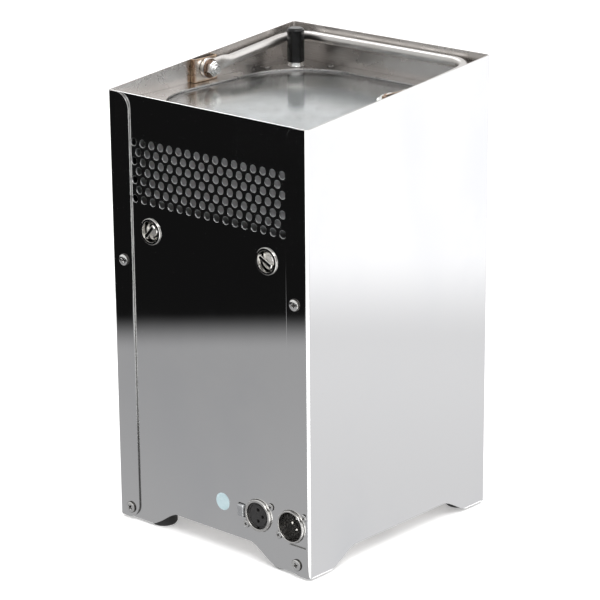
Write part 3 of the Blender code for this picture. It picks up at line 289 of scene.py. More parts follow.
def addNode(tree, kind, inputs=None, **settings):
    # sockets given as inputs are linked, plain values are set
    node = tree.nodes.new(kind)
    node.location = (220 * (len(tree.nodes) % 6), -260 * (len(tree.nodes) // 6))
    for key, value in settings.items():
        setattr(node, key, value)
    for key, value in (inputs or {}).items():
        if isinstance(value, bpy.types.NodeSocket):
            tree.links.new(value, node.inputs[key])
        else:
            node.inputs[key].default_value = value
    return node


def ramp(tree, value, start, end, low=0.0, high=1.0):
    inputs = {"Value": value, "From Min": start, "From Max": end, "To Min": low, "To Max": high}
    return addNode(tree, "ShaderNodeMapRange", inputs, interpolation_type="SMOOTHSTEP").outputs["Result"]


def sumOf(tree, first, second):
    return addNode(tree, "ShaderNodeMath", {0: first, 1: second}).outputs["Value"]


number, vector = "NodeSocketFloat", "NodeSocketVector"


def makeHaze():
    # cloudy patches, for smudges and uneven polish
    inputs = [("Vector", vector, (0, 0, 0)), ("Scale", number, 10), ("Low", number, 0), ("High", number, 1)]
    group, entry, leave = newGroup("haze", inputs, [("Roughness", number), ("Mask", number)])
    cloud = addNode(group, "ShaderNodeTexNoise", {
        "Vector": entry.outputs["Vector"], "Scale": entry.outputs["Scale"], "Detail": 5, "Roughness": 0.62,
    }).outputs["Fac"]
    mask = ramp(group, cloud, 0.38, 0.66)
    level = addNode(group, "ShaderNodeMapRange", {
        "Value": mask, "To Min": entry.outputs["Low"], "To Max": entry.outputs["High"],
    })
    group.links.new(level.outputs["Result"], leave.inputs["Roughness"])
    group.links.new(mask, leave.inputs["Mask"])
    return group


def makeGrain():
    # noise drawn out along an axis, for rolled, brushed and extruded metal
    inputs = [("Vector", vector, (0, 0, 0)), ("Stretch", vector, (1, 1, 1)), ("Scale", number, 400)]
    group, entry, leave = newGroup("grain", inputs, [("Height", number), ("Tone", number)])
    drawn = addNode(group, "ShaderNodeVectorMath", operation="MULTIPLY")
    group.links.new(entry.outputs["Vector"], drawn.inputs[0])
    group.links.new(entry.outputs["Stretch"], drawn.inputs[1])
    for label, detail in (("Height", 3), ("Tone", 1)):
        noise = addNode(group, "ShaderNodeTexNoise", {
            "Vector": drawn.outputs["Vector"], "Scale": entry.outputs["Scale"], "Detail": detail,
        })
        group.links.new(noise.outputs["Fac"], leave.inputs[label])
    return group


def makeSpecks():
    # small scattered marks, for dust and pits
    inputs = [("Vector", vector, (0, 0, 0)), ("Scale", number, 300), ("Size", number, 0.12)]
    group, entry, leave = newGroup("specks", inputs, [("Mask", number)])
    cells = addNode(group, "ShaderNodeTexVoronoi", {
        "Vector": entry.outputs["Vector"], "Scale": entry.outputs["Scale"],
    })
    dots = addNode(group, "ShaderNodeMath", {0: cells.outputs["Distance"], 1: entry.outputs["Size"]},
                   operation="LESS_THAN")
    few = addNode(group, "ShaderNodeTexNoise", {"Vector": entry.outputs["Vector"], "Scale": 40})
    some = ramp(group, few.outputs["Fac"], 0.5, 0.62)
    mask = addNode(group, "ShaderNodeMath", {0: dots.outputs["Value"], 1: some}, operation="MULTIPLY")
    group.links.new(mask.outputs["Value"], leave.inputs["Mask"])
    return group


haze, grain, specks = makeHaze(), makeGrain(), makeSpecks()
print("shared effects made")


# ---- finishes

def startFinish(name):
    finish = bpy.data.materials.new(name)
    finish.use_nodes = True
    tree = finish.node_tree
    where = addNode(tree, "ShaderNodeTexCoord").outputs["Object"]
    return finish, tree, tree.nodes["Principled BSDF"], where


def useGroup(tree, group, inputs):
    node = addNode(tree, "ShaderNodeGroup", node_tree=group)
    for key, value in inputs.items():
        if isinstance(value, bpy.types.NodeSocket):
            tree.links.new(value, node.inputs[key])
        else:
            node.inputs[key].default_value = value
    return node


def mixColour(tree, share, first, second):
    node = addNode(tree, "ShaderNodeMix", data_type="RGBA")
    for socket, value in ((node.inputs[0], share), (node.inputs[6], first), (node.inputs[7], second)):
        if isinstance(value, bpy.types.NodeSocket):
            tree.links.new(value, socket)
        else:
            socket.default_value = value if isinstance(value, float) else (*value, 1)
    return node.outputs[2]


def wear(tree, shader, base, cloud):
    tree.links.new(base, shader.inputs["Base Color"])
    tree.links.new(cloud.outputs["Roughness"], shader.inputs["Roughness"])


def makeFinish(name, look):
    # light and dark tones by patches, dust, uneven polish and a fine grain
    finish, tree, shader, where = startFinish(name)
    cloud = useGroup(tree, haze, {
        "Vector": where, "Scale": look["patches"], "Low": look["rough"][0], "High": look["rough"][1],
    })
    lines = useGroup(tree, grain, {"Vector": where, "Stretch": look["stretch"], "Scale": look["grain"]})
    tone = ramp(tree, lines.outputs["Tone"], 0.35, 0.65)
    share = addNode(tree, "ShaderNodeMath", {0: cloud.outputs["Mask"], 1: tone}, operation="MULTIPLY")
    base = mixColour(tree, share.outputs["Value"], look["light"], look["dark"])
    if "dust" in look:
        dust = useGroup(tree, specks, {"Vector": where, "Scale": look["dustScale"], "Size": look["dustSize"]})
        base = mixColour(tree, dust.outputs["Mask"], base, look["dust"])
    wear(tree, shader, base, cloud)
    shader.inputs["Metallic"].default_value = look["metal"]
    shader.inputs["Specular IOR Level"].default_value = look["specular"]
    bump = addNode(tree, "ShaderNodeBump", {
        "Height": lines.outputs["Height"], "Strength": 1.0, "Distance": look["depth"],
    })
    tree.links.new(bump.outputs["Normal"], shader.inputs["Normal"])
    return finish


# what most looks share; a row below may change it
commonLook = {"stretch": (1, 1, 1), "metal": 0, "specular": 0.5}
looks = {
    "mirrorSteel": {
        "light": (0.83, 0.83, 0.825), "dark": (0.79, 0.795, 0.80), "patches": 7, "rough": (0.035, 0.085),
        "stretch": (1, 1, 0.25), "grain": 14, "depth": 0.00006, "metal": 1,
        "dust": (0.66, 0.66, 0.65), "dustScale": 240, "dustSize": 0.06,
    },
    "satinSteel": {
        "light": (0.54, 0.52, 0.505), "dark": (0.48, 0.455, 0.435), "patches": 16, "rough": (0.2, 0.34),
        "stretch": (0.04, 1, 1), "grain": 1500, "depth": 0.000004, "metal": 1,
        "dust": (0.75, 0.74, 0.72), "dustScale": 420, "dustSize": 0.14,
    },
    # cut sheet edges: a rougher ground finish, made darker than steel as painted shade of the gap beside the
    # flanges
    "cutEdgeAndShade": {
        "light": (0.34, 0.34, 0.335), "dark": (0.26, 0.26, 0.255), "patches": 60, "rough": (0.2, 0.34),
        "stretch": (1, 1, 0.1), "grain": 900, "depth": 0.000006, "metal": 1,
    },
    "barSteel": {
        "light": (0.54, 0.525, 0.51), "dark": (0.46, 0.435, 0.41), "patches": 30, "rough": (0.29, 0.4),
        "grain": 900, "depth": 0.000004, "metal": 1,
    },
    # painted shade: a dark finish for the cross recesses and the sides of screw heads
    "paintedShadeDark": {
        "light": (0.10, 0.095, 0.09), "dark": (0.05, 0.048, 0.045), "patches": 200, "rough": (0.4, 0.55),
        "grain": 1500, "depth": 0.000004, "metal": 1,
    },
    "traySteel": {
        "light": (0.55, 0.52, 0.49), "dark": (0.46, 0.43, 0.40), "patches": 24, "rough": (0.16, 0.28),
        "stretch": (1, 1, 0.03), "grain": 700, "depth": 0.000008, "metal": 1,
    },
    "washerBrown": {
        "light": (0.22, 0.15, 0.11), "dark": (0.13, 0.085, 0.06), "patches": 140, "rough": (0.2, 0.36),
        "grain": 1500, "depth": 0.000004, "metal": 1,
    },
    "brightZinc": {
        "light": (0.80, 0.80, 0.79), "dark": (0.66, 0.65, 0.62), "patches": 120, "rough": (0.16, 0.3),
        "grain": 1500, "depth": 0.000006, "metal": 1,
    },
    "latchNickel": {
        "light": (0.72, 0.71, 0.69), "dark": (0.52, 0.51, 0.48), "patches": 90, "rough": (0.05, 0.13),
        "stretch": (1, 0.1, 1), "grain": 1200, "depth": 0.0000015, "metal": 1,
    },
    "shellNickel": {
        "light": (0.74, 0.73, 0.71), "dark": (0.60, 0.58, 0.55), "patches": 70, "rough": (0.16, 0.3),
        "grain": 1300, "depth": 0.000005, "metal": 1,
    },
    "contactSilver": {
        "light": (0.86, 0.85, 0.82), "dark": (0.74, 0.72, 0.68), "patches": 200, "rough": (0.12, 0.22),
        "grain": 2000, "depth": 0.000002, "metal": 1,
    },
    "insertBlack": {
        "light": (0.022, 0.021, 0.021), "dark": (0.012, 0.012, 0.012), "patches": 60, "rough": (0.36, 0.5),
        "grain": 2600, "depth": 0.000014,
        "dust": (0.10, 0.10, 0.10), "dustScale": 900, "dustSize": 0.1,
    },
    "antennaGloss": {
        "light": (0.006, 0.006, 0.006), "dark": (0.003, 0.003, 0.003), "patches": 40, "rough": (0.14, 0.24),
        "grain": 1200, "depth": 0.000003, "specular": 0.3,
    },
    "footRubber": {
        "light": (0.014, 0.014, 0.014), "dark": (0.008, 0.008, 0.008), "patches": 45, "rough": (0.62, 0.82),
        "grain": 1700, "depth": 0.00003,
        "dust": (0.12, 0.115, 0.11), "dustScale": 600, "dustSize": 0.16,
    },
    "trayPaint": {
        "light": (0.44, 0.46, 0.47), "dark": (0.38, 0.40, 0.41), "patches": 20, "rough": (0.4, 0.52),
        "grain": 1600, "depth": 0.00001,
        "dust": (0.6, 0.6, 0.6), "dustScale": 350, "dustSize": 0.12,
    },
    "boardWhite": {
        "light": (0.72, 0.72, 0.70), "dark": (0.62, 0.62, 0.60), "patches": 60, "rough": (0.3, 0.42),
        "grain": 900, "depth": 0.000008,
    },
    "sinkAluminium": {
        "light": (0.46, 0.465, 0.475), "dark": (0.38, 0.385, 0.39), "patches": 25, "rough": (0.3, 0.44),
        "stretch": (0.02, 1, 1), "grain": 1100, "depth": 0.00001, "metal": 1,
    },
    "shelfAluminium": {
        "light": (0.64, 0.65, 0.66), "dark": (0.54, 0.55, 0.56), "patches": 18, "rough": (0.34, 0.48),
        "stretch": (1, 0.03, 1), "grain": 1000, "depth": 0.000008, "metal": 1,
    },
    "fanBlack": {
        "light": (0.024, 0.024, 0.025), "dark": (0.014, 0.014, 0.014), "patches": 40, "rough": (0.42, 0.56),
        "grain": 1500, "depth": 0.00002,
        "dust": (0.12, 0.115, 0.11), "dustScale": 500, "dustSize": 0.15,
    },
    "packSleeve": {
        "light": (0.035, 0.09, 0.30), "dark": (0.022, 0.06, 0.22), "patches": 22, "rough": (0.22, 0.4),
        "stretch": (0.1, 1, 1), "grain": 160, "depth": 0.00012,
    },
    "keyBlack": {
        "light": (0.028, 0.028, 0.029), "dark": (0.017, 0.017, 0.017), "patches": 70, "rough": (0.34, 0.48),
        "grain": 2400, "depth": 0.00001,
        "dust": (0.12, 0.12, 0.12), "dustScale": 700, "dustSize": 0.12,
    },
}
finishes = {name: makeFinish(name, {**commonLook, **look}) for name, look in looks.items()}


def makeTintedSteel():
    # stainless sheet, steel in the middle, straw and brown towards its edges
    look = {"steel": (0.62, 0.58, 0.53), "straw": (0.46, 0.32, 0.20), "brown": (0.20, 0.10, 0.055)}
    finish, tree, shader, where = startFinish("tintedSteel")
    low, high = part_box("handle_bracket_left")
    split = addNode(tree, "ShaderNodeSeparateXYZ", {"Vector": where})
    spans = []
    for axis, start, end in (("Y", low.y, high.y), ("Z", low.z, high.z)):
        middle = (start + end) / 2
        off = addNode(tree, "ShaderNodeMath", {0: split.outputs[axis], 1: middle}, operation="SUBTRACT")
        off = addNode(tree, "ShaderNodeMath", {0: off.outputs["Value"]}, operation="ABSOLUTE")
        spans.append(ramp(tree, off.outputs["Value"], (end - start) * 0.38, (end - start) * 0.52))
    edge = addNode(tree, "ShaderNodeMath", {0: spans[0], 1: spans[1]}, operation="MAXIMUM")
    cloud = useGroup(tree, haze, {"Vector": where, "Scale": 55, "Low": 0.22, "High": 0.42})
    broad = useGroup(tree, haze, {"Vector": where, "Scale": 130, "Low": 0, "High": 1})
    warm = mixColour(tree, broad.outputs["Mask"], look["straw"], look["brown"])
    share = addNode(tree, "ShaderNodeMath", {0: cloud.outputs["Mask"], 1: 0.15}, operation="MULTIPLY")
    base = mixColour(tree, share.outputs["Value"], look["steel"], warm)
    base = mixColour(tree, edge.outputs["Value"], base, warm)
    wear(tree, shader, base, cloud)
    shader.inputs["Metallic"].default_value = 1
    lines = useGroup(tree, grain, {"Vector": where, "Stretch": (1, 0.05, 1), "Scale": 1400})
    bump = addNode(tree, "ShaderNodeBump", {"Height": lines.outputs["Height"], "Distance": 0.000006})
    tree.links.new(bump.outputs["Normal"], shader.inputs["Normal"])
    return finish


def makeClear(name, look):
    # clear sheet or moulding: wiped haze, faint dust, a trace of colour
    finish, tree, shader, where = startFinish(name)
    cloud = useGroup(tree, haze, {
        "Vector": where, "Scale": look["patches"], "Low": look["rough"][0], "High": look["rough"][1],
    })
    dust = useGroup(tree, specks, {"Vector": where, "Scale": look["dustScale"], "Size": look["dustSize"]})
    base = mixColour(tree, dust.outputs["Mask"], look["clear"], look["dust"])
    wear(tree, shader, base, cloud)
    shader.inputs["Transmission Weight"].default_value = look["through"]
    shader.inputs["IOR"].default_value = look["ior"]
    return finish


def makeCircuitBoard():
    # green lacquer over copper tracks, with tinned pads
    look = {"lacquer": (0.012, 0.085, 0.04), "track": (0.03, 0.16, 0.075), "pad": (0.55, 0.55, 0.52)}
    finish, tree, shader, where = startFinish("circuitBoard")
    cells = addNode(tree, "ShaderNodeTexVoronoi", {"Vector": where, "Scale": 210.0},
                    distance="MANHATTAN", feature="F1")
    tracks = ramp(tree, cells.outputs["Distance"], 0.42, 0.5)
    pads = ramp(tree, cells.outputs["Distance"], 0.1, 0.07)
    base = mixColour(tree, tracks, look["lacquer"], look["track"])
    base = mixColour(tree, pads, base, look["pad"])
    tree.links.new(base, shader.inputs["Base Color"])
    cloud = useGroup(tree, haze, {"Vector": where, "Scale": 60, "Low": 0.28, "High": 0.42})
    tree.links.new(cloud.outputs["Roughness"], shader.inputs["Roughness"])
    bump = addNode(tree, "ShaderNodeBump", {"Height": tracks, "Distance": 0.00004})
    tree.links.new(bump.outputs["Normal"], shader.inputs["Normal"])
    return finish


def makePhosphor():
    # the yellow coat over an emitter, grainy under its clear dome
    finish, tree, shader, where = startFinish("phosphor")
    cloud = useGroup(tree, haze, {"Vector": where, "Scale": 900, "Low": 0.2, "High": 0.35})
    base = mixColour(tree, cloud.outputs["Mask"], (0.78, 0.60, 0.10), (0.70, 0.50, 0.06))
    wear(tree, shader, base, cloud)
    return finish


def makeDisplay():
    # a dark window with a faint dot matrix behind it
    finish, tree, shader, where = startFinish("displayDark")
    cells = addNode(tree, "ShaderNodeTexVoronoi", {"Vector": where, "Scale": 700.0, "Randomness": 0.0},
                    distance="CHEBYCHEV")
    dots = ramp(tree, cells.outputs["Distance"], 0.36, 0.44)
    base = mixColour(tree, dots, (0.02, 0.035, 0.035), (0.008, 0.012, 0.014))
    cloud = useGroup(tree, haze, {"Vector": where, "Scale": 60, "Low": 0.05, "High": 0.16})
    wear(tree, shader, base, cloud)
    shader.inputs["Coat Weight"].default_value = 0.6
    return finish


def makeLabel():
    # a pale printed seal in two teal tones, mixed by patches
    finish, tree, shader, where = startFinish("labelTeal")
    cloud = useGroup(tree, haze, {"Vector": where, "Scale": 240, "Low": 0.3, "High": 0.5})
    base = mixColour(tree, cloud.outputs["Mask"], (0.42, 0.53, 0.56), (0.35, 0.47, 0.50))
    wear(tree, shader, base, cloud)
    return finish


finishes["tintedSteel"] = makeTintedSteel()
finishes["windowClear"] = makeClear("windowClear", {
    "clear": (0.96, 0.98, 0.985), "dust": (0.75, 0.78, 0.8), "patches": 14, "rough": (0.09, 0.17),
    "dustScale": 300, "dustSize": 0.1, "through": 1.0, "ior": 1.4,
})
finishes["lensClear"] = makeClear("lensClear", {
    "clear": (0.92, 0.94, 0.95), "dust": (0.8, 0.8, 0.8), "patches": 60, "rough": (0.03, 0.1),
    "dustScale": 500, "dustSize": 0.08, "through": 0.85, "ior": 1.49,
})
finishes["circuitBoard"] = makeCircuitBoard()
finishes["phosphor"] = makePhosphor()
finishes["displayDark"] = makeDisplay()
finishes["labelTeal"] = makeLabel()
print("finishes made:", len(finishes))


# ---- camera, light and floor

camera = {
    "azimuth": 222.12, "elevation": 17.68, "roll": -0.48, "distance": 1.93,
    "lens": 156.45, "target": (0, 0, 0.1657), "shift": (-0.0028, 0.0015),
}


def addCamera():
    data = bpy.data.cameras.new("camera")
    data.lens = camera["lens"]
    data.sensor_width = 36
    data.shift_x, data.shift_y = camera["shift"]
    turn, rise = math.radians(camera["azimuth"]), math.radians(camera["elevation"])
    back = Vector((math.sin(turn) * math.cos(rise), -math.cos(turn) * math.cos(rise), math.sin(rise)))
    right = Vector((0, 0, 1)).cross(back).normalized()
    rotation = Matrix((right, back.cross(right), back)).transposed().to_4x4()
    rotation = rotation @ Matrix.Rotation(math.radians(camera["roll"]), 4, "Z")
    view = bpy.data.objects.new("camera", data)
    view.matrix_world = Matrix.Translation(Vector(camera["target"]) + back * camera["distance"]) @ rotation
    bpy.context.scene.collection.objects.link(view)
    bpy.context.scene.camera = view


def glowPlane(name, xs, ys, height, along, stops):
    # a card that only mirrors see; its brightness runs through the stops along one direction
    shape = bmesh.new()
    bmesh.ops.create_grid(shape, x_segments=1, y_segments=1, size=0.5)
    bmesh.ops.scale(shape, verts=shape.verts, vec=(xs[1] - xs[0], ys[1] - ys[0], 1))
    bmesh.ops.translate(shape, verts=shape.verts, vec=((xs[0] + xs[1]) / 2, (ys[0] + ys[1]) / 2, height))
    mesh = bpy.data.meshes.new(name)
    shape.to_mesh(mesh)
    shape.free()
    glow = bpy.data.materials.new(name)
    glow.use_nodes = True
    tree = glow.node_tree
    tree.nodes.remove(tree.nodes["Principled BSDF"])
    where = addNode(tree, "ShaderNodeTexCoord").outputs["Object"]
    split = addNode(tree, "ShaderNodeSeparateXYZ", {"Vector": where})
    steps = [
        addNode(tree, "ShaderNodeMath", {0: split.outputs[axis], 1: share}, operation="MULTIPLY")
        for axis, share in zip("XY", along)
    ]
    reach = sumOf(tree, *[step.outputs["Value"] for step in steps])
    level = None
    for (start, low), (end, high) in zip(stops, stops[1:]):
        part = ramp(tree, reach, start, end, 0.0, high - low)
        level = part if level is None else sumOf(tree, level, part)
    level = sumOf(tree, level, stops[0][1])
    light = addNode(tree, "ShaderNodeEmission", {"Color": (0.98, 0.98, 1, 1), "Strength": level})
    tree.links.new(light.outputs["Emission"], tree.nodes["Material Output"].inputs["Surface"])
    mesh.materials.append(glow)
    card = bpy.data.objects.new(name, mesh)
    bpy.context.scene.collection.objects.link(card)
    card.visible_camera = False
    card.visible_diffuse = False
    card.visible_shadow = False
    card.visible_transmission = False


def addFloor():
    shape = bmesh.new()
    bmesh.ops.create_grid(shape, x_segments=1, y_segments=1, size=6)
    mesh = bpy.data.meshes.new("floor")
    shape.to_mesh(mesh)
    shape.free()
    finish, tree, shader, where = startFinish("floorPale")
    cloud = useGroup(tree, haze, {"Vector": where, "Scale": 2, "Low": 0.6, "High": 0.7})
    tree.links.new(cloud.outputs["Roughness"], shader.inputs["Roughness"])
    shader.inputs["Base Color"].default_value = (0.9, 0.9, 0.9, 1)
    shader.inputs["Specular IOR Level"].default_value = 0.1
    shader.inputs["Emission Color"].default_value = (1, 1, 1, 1)
    shader.inputs["Emission Strength"].default_value = 0.3
    mesh.materials.append(finish)
    floor = bpy.data.objects.new("floor", mesh)
    bpy.context.scene.collection.objects.link(floor)


def addLamp(name, place, size, power):
    data = bpy.data.lights.new(name, "AREA")
    data.shape = "DISK"
    data.size = size
    data.energy = power
    lamp = bpy.data.objects.new(name, data)
    lamp.location = place
    lamp.rotation_euler = (Vector((0, 0, 0.2)) - Vector(place)).to_track_quat("-Z", "Y").to_euler()
    bpy.context.scene.collection.objects.link(lamp)


stage = {
    "worldStrength": (1.7, 0.85),
    "lamps": [("key", (-1.6, 1.2, 2.6), 1.6, 45), ("fill", (1.8, -0.6, 2.2), 1.6, 18)],
    "rearStops": [(0.07, 0.43), (0.52, 0.39), (0.63, 0.007)],
    "leftStops": [(0.07, 0.77), (0.52, 0.84), (0.82, 1.25)],
    "farStops": [(-2.2, 0.1), (-0.9, 0.35), (-0.5, 0.9), (-0.1, 0.75)],
    "rightStops": [(0.1, 0.6), (0.45, 0.75), (0.8, 0.25), (2.2, 0.08)],
}


def addStage():
    world = bpy.data.worlds.new("studio")
    world.use_nodes = True
    tree = world.node_tree
    where = addNode(tree, "ShaderNodeTexCoord").outputs["Generated"]
    split = addNode(tree, "ShaderNodeSeparateXYZ", {"Vector": where})
    toward = sumOf(tree, split.outputs["X"], split.outputs["Y"])
    level = ramp(tree, toward, -1.3, 0.7, *stage["worldStrength"])
    tree.nodes["Background"].inputs["Color"].default_value = (1, 1, 1, 1)
    tree.links.new(level, tree.nodes["Background"].inputs["Strength"])
    bpy.context.scene.world = world
    bpy.context.scene.view_settings.view_transform = "Standard"
    addFloor()
    for lamp in stage["lamps"]:
        addLamp(*lamp)
    height = 0.0004
    glowPlane("card_rear", (-0.1, 2.4), (0.1, 2.4), height, (0.67, 0.742), stage["rearStops"])
    glowPlane("card_left", (-2.4, -0.1), (-2.4, 0.1), height, (-0.67, -0.742), stage["leftStops"])
    glowPlane("card_far", (-0.1, 0.1), (-2.4, -0.1), height, (0, 1), stage["farStops"])
    glowPlane("card_right", (0.1, 2.4), (-2.4, 0.1), height, (1, 0), stage["rightStops"])


addCamera()
addStage()
print("camera, light and floor placed")


# ---- casing

low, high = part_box("outer_casing")
panelLow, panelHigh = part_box("rear_panel")
halfX, halfY, skirt, frontRim, rearRim = high.x, high.y, low.z, high.z, panelHigh.z
gap = 0.3 * mm
over = 4 * mm

casing = {
    "sheet": 1.2 * mm, "bend": 3 * mm, "flange": 20.4 * mm, "flangeCorner": 11.5 * mm,
    "rearNotch": (34 * mm, 24 * mm, 13.2 * mm), "sideNotch": (23 * mm, 26 * mm, 12 * mm),
    "screwInset": 12.3 * mm, "screwRise": 8 * mm, "screwDrop": 125 * mm,
    "edge": 0.26 * mm, "dress": (0.8 * mm, 0.3 * mm),
}
connector = {
    "up": 35.4 * mm + skirt, "out": -halfX + 18.5 * mm, "pitch": 31.7 * mm,
    "ring": 12 * mm, "proud": 2 * mm, "depth": 22 * mm, "insert": 9.8 * mm,
    "flange": (15.4 * mm, 13 * mm), "screw": (12 * mm, 9.5 * mm), "contact": 4.3 * mm,
    "tab": (13.4 * mm, 19.1 * mm, 4.5 * mm), "tabGap": 0.7 * mm,
}
latch = {
    "x": 56.7 * mm, "drop": 99.1 * mm, "rim": 9.75 * mm, "cup": 8.6 * mm, "depth": 8 * mm,
    "stud": 7 * mm, "shaft": 2.7 * mm, "wing": (13.4 * mm, 3.2 * mm, 6.5 * mm), "face": 4.4 * mm,
    "turns": {"left": 26, "right": -48},
}
casingScrews = [
    (side * (halfX - casing["screwInset"]), z)
    for z in (skirt + casing["screwRise"], rearRim - casing["screwDrop"]) for side in (-1, 1)
]
connectorX = {"dmx_out": connector["out"], "dmx_in": connector["out"] + connector["pitch"]}


def connectorScrews(x):
    across, up = connector["screw"]
    return [(x - across, connector["up"] + up), (x + across, connector["up"] - up)]


def notchLine(halfWidth, notch, steps=18):
    # the skirt's lower edge between two feet
    flat, slope, rise = notch
    side = []
    for step in range(steps + 1):
        share = step / steps
        eased = share * share * (3 - 2 * share)
        side.append((halfWidth - flat - slope * share, skirt + rise * (share + eased) / 2))
    return [(-along, z) for along, z in side] + side[::-1]


def notchTool(line, axis, start, end):
    return plate(line + [(line[-1][0], skirt - over), (line[0][0], skirt - over)], start, end, axis)


def flangeCornerTool(side, edgeZ, up, steps=14):
    edgeX, radius = halfX - casing["flange"], casing["flangeCorner"]
    farX = edgeX + radius
    line = [(edgeX - over, edgeZ - up * radius), (edgeX - over, edgeZ + up * over), (farX, edgeZ + up * over)]
    for step in range(steps):
        turn = math.pi / 2 * step / steps
        line.append((farX - radius * math.sin(turn), edgeZ - up * radius * (1 - math.cos(turn))))
    return plate([(side * x, z) for x, z in line], panelHigh.y, halfY + over, "Y")


def makeCasing():
    sheet, bend, flange = casing["sheet"], casing["bend"], halfX - casing["flange"]

    def wrap(inset):
        x, y = halfX - inset, halfY - inset
        corners = [(-flange, y), (-x, y), (-x, -y), (x, -y), (x, y), (flange, y)]
        line = rounded(corners, bend - inset, 10, closed=False)
        if inset:
            return line
        # the free edges of the flanges are dressed back a little
        wide, deep = casing["dress"]
        starts = [Vector((-flange, y - deep)), Vector((-flange - wide, y))]
        ends = [Vector((flange + wide, y)), Vector((flange, y - deep))]
        return starts + line[1:-1] + ends

    shape = plate(wrap(0) + wrap(sheet)[::-1], skirt, frontRim + over)
    slope = Vector((0, (frontRim - rearRim), 2 * halfY)).normalized()
    cutting = shape.verts[:] + shape.edges[:] + shape.faces[:]
    bmesh.ops.bisect_plane(
        shape, geom=cutting, plane_co=(0, halfY, rearRim), plane_no=slope, clear_outer=True,
    )
    rim = [edge for edge in shape.edges if edge.is_boundary]
    bmesh.ops.contextual_create(shape, geom=rim)
    bmesh.ops.recalc_face_normals(shape, faces=shape.faces)

    tools = [
        notchTool(notchLine(halfY, casing["sideNotch"]), "X", -halfX - over, halfX + over),
        notchTool(notchLine(halfX, casing["rearNotch"]), "Y", -halfY - over, -halfY + over),
    ]
    for side in (-1, 1):
        tools.append(flangeCornerTool(side, rearRim, 1))
        tools.append(flangeCornerTool(side, skirt, -1))
    reach = connector["screw"][0] + 2.8 * mm + gap
    half = connector["flange"][1] + 0.5 * mm
    notchLow = (connector["out"] - reach, panelHigh.y, connector["up"] - half)
    tools.append(block(notchLow, (-flange + over, halfY + over, connector["up"] + half)))
    for x, z in casingScrews:
        tools.append(put(drum(2.2 * mm, -over, over, 24), (x, halfY, z), "+Y"))
    shape = cut(shape, *tools)
    soften(shape, casing["edge"], 3)
    for face in shape.faces:
        centre = face.calc_center_median()
        depth = min(halfX - abs(centre.x), halfY - abs(centre.y))
        face.material_index = 1 if depth > 0.9 * mm else 0
        # cut faces in the flanges take finish 2: a ground edge finish, darkened as painted shade of the gap
        if centre.y > panelHigh.y and abs(face.normal.y) < 0.5 and abs(centre.x) < halfX - casing["bend"]:
            face.material_index = 2
    piece("casing_sheet", shape, [finishes["mirrorSteel"], finishes["satinSteel"], finishes["cutEdgeAndShade"]],
          stands="outer_casing")


vents = {"radius": 2.75 * mm, "pitch": 9 * mm, "rowPitch": 7 * mm, "rows": 7, "drop": 35 * mm, "sides": 20}


def ventCentres():
    columns = int((halfX - casing["flange"]) / vents["pitch"])
    centres = []
    for row in range(vents["rows"]):
        shift = 0 if row % 2 == 0 else 0.5
        count = range(-columns, columns + 1) if row % 2 == 0 else range(-columns, columns)
        z = rearRim - vents["drop"] - row * vents["rowPitch"]
        centres += [((column + shift) * vents["pitch"], z) for column in count]
    return centres


def makeRearPanel():
    edge = notchLine(halfX, casing["rearNotch"])
    inner = panelHigh.x
    outline = [(inner, skirt), (inner, rearRim), (-inner, rearRim), (-inner, skirt)] + edge
    holes = [hoop(vents["radius"], centre, vents["sides"]) for centre in ventCentres()]
    for side in (-1, 1):
        holes.append(hoop(latch["cup"] + gap, (side * latch["x"], rearRim - latch["drop"]), 48))
    holes += [hoop(2.2 * mm, place, 24) for place in casingScrews]
    for x in connectorX.values():
        holes.append(hoop(connector["ring"] + gap, (x, connector["up"]), 64))
        holes += [hoop(1.8 * mm, place, 20) for place in connectorScrews(x)]
    near, far, half = connector["tab"]
    tabX = connectorX["dmx_in"] + (near + far) / 2
    around = connector["tabGap"]
    holes.append(roundedBox((far - near) / 2 + around, half + around, 0.8 * mm, 4, (tabX, connector["up"])))
    shape = plate(outline, panelLow.y, panelHigh.y, "Y", holes, rim=0.38 * mm)
    piece("rear_sheet", shape, finishes["mirrorSteel"], stands="rear_panel")


makeCasing()
makeRearPanel()
print("casing and rear panel made")


# ---- deck and window

deckLow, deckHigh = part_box("top_deck")
paneLow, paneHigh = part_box("window_pane")
window = {
    "corner": 54 * mm, "lap": 3.2 * mm, "steps": 22, "sealWidth": 3 * mm, "sheet": 1.2 * mm,
    "trayInset": 1 * mm, "fold": 2.4 * mm,
}
antennaAt = (halfX - 22.5 * mm, -halfY + 23 * mm)
deckScrews = [(halfX - 11.5 * mm, -halfY + 43.6 * mm), (halfX - 46 * mm, -halfY + 9.3 * mm)]
lensPitch, lensRows = 35 * mm, 3
lensPlaces = [
    ((column - 1) * lensPitch, (row - 1) * lensPitch) for row in range(lensRows) for column in range(lensRows)
]


def windowLine(grow):
    # the window's outline, grown by a margin; the pane laps under the deck by window["lap"]
    x = paneHigh.x - window["lap"] + grow
    y = paneHigh.y - window["lap"] + grow
    return roundedBox(x, y, window["corner"] + grow, window["steps"])


def makeDeck():
    sheet = window["sheet"]
    middle = (deckLow.y + deckHigh.y) / 2
    x, y = deckHigh.x, (deckHigh.y - deckLow.y) / 2
    shape = plate(roundedBox(x, y, 3 * mm, 8, (0, middle)), deckLow.z, deckHigh.z)
    hollow = roundedBox(x - sheet, y - sheet, 1.8 * mm, 6, (0, middle))
    tools = [
        plate(hollow, deckLow.z - over, deckHigh.z - sheet),
        plate(windowLine(0), deckLow.z - over, deckHigh.z + over),
        put(drum(3.3 * mm, -over, over, 24), (*antennaAt, deckHigh.z)),
    ]
    tools += [put(drum(1.8 * mm, -over, over, 20), (*place, deckHigh.z)) for place in deckScrews]
    shape = cut(shape, *tools)
    soften(shape, 0.32 * mm, 3)
    piece("deck_sheet", shape, finishes["satinSteel"], stands="top_deck")


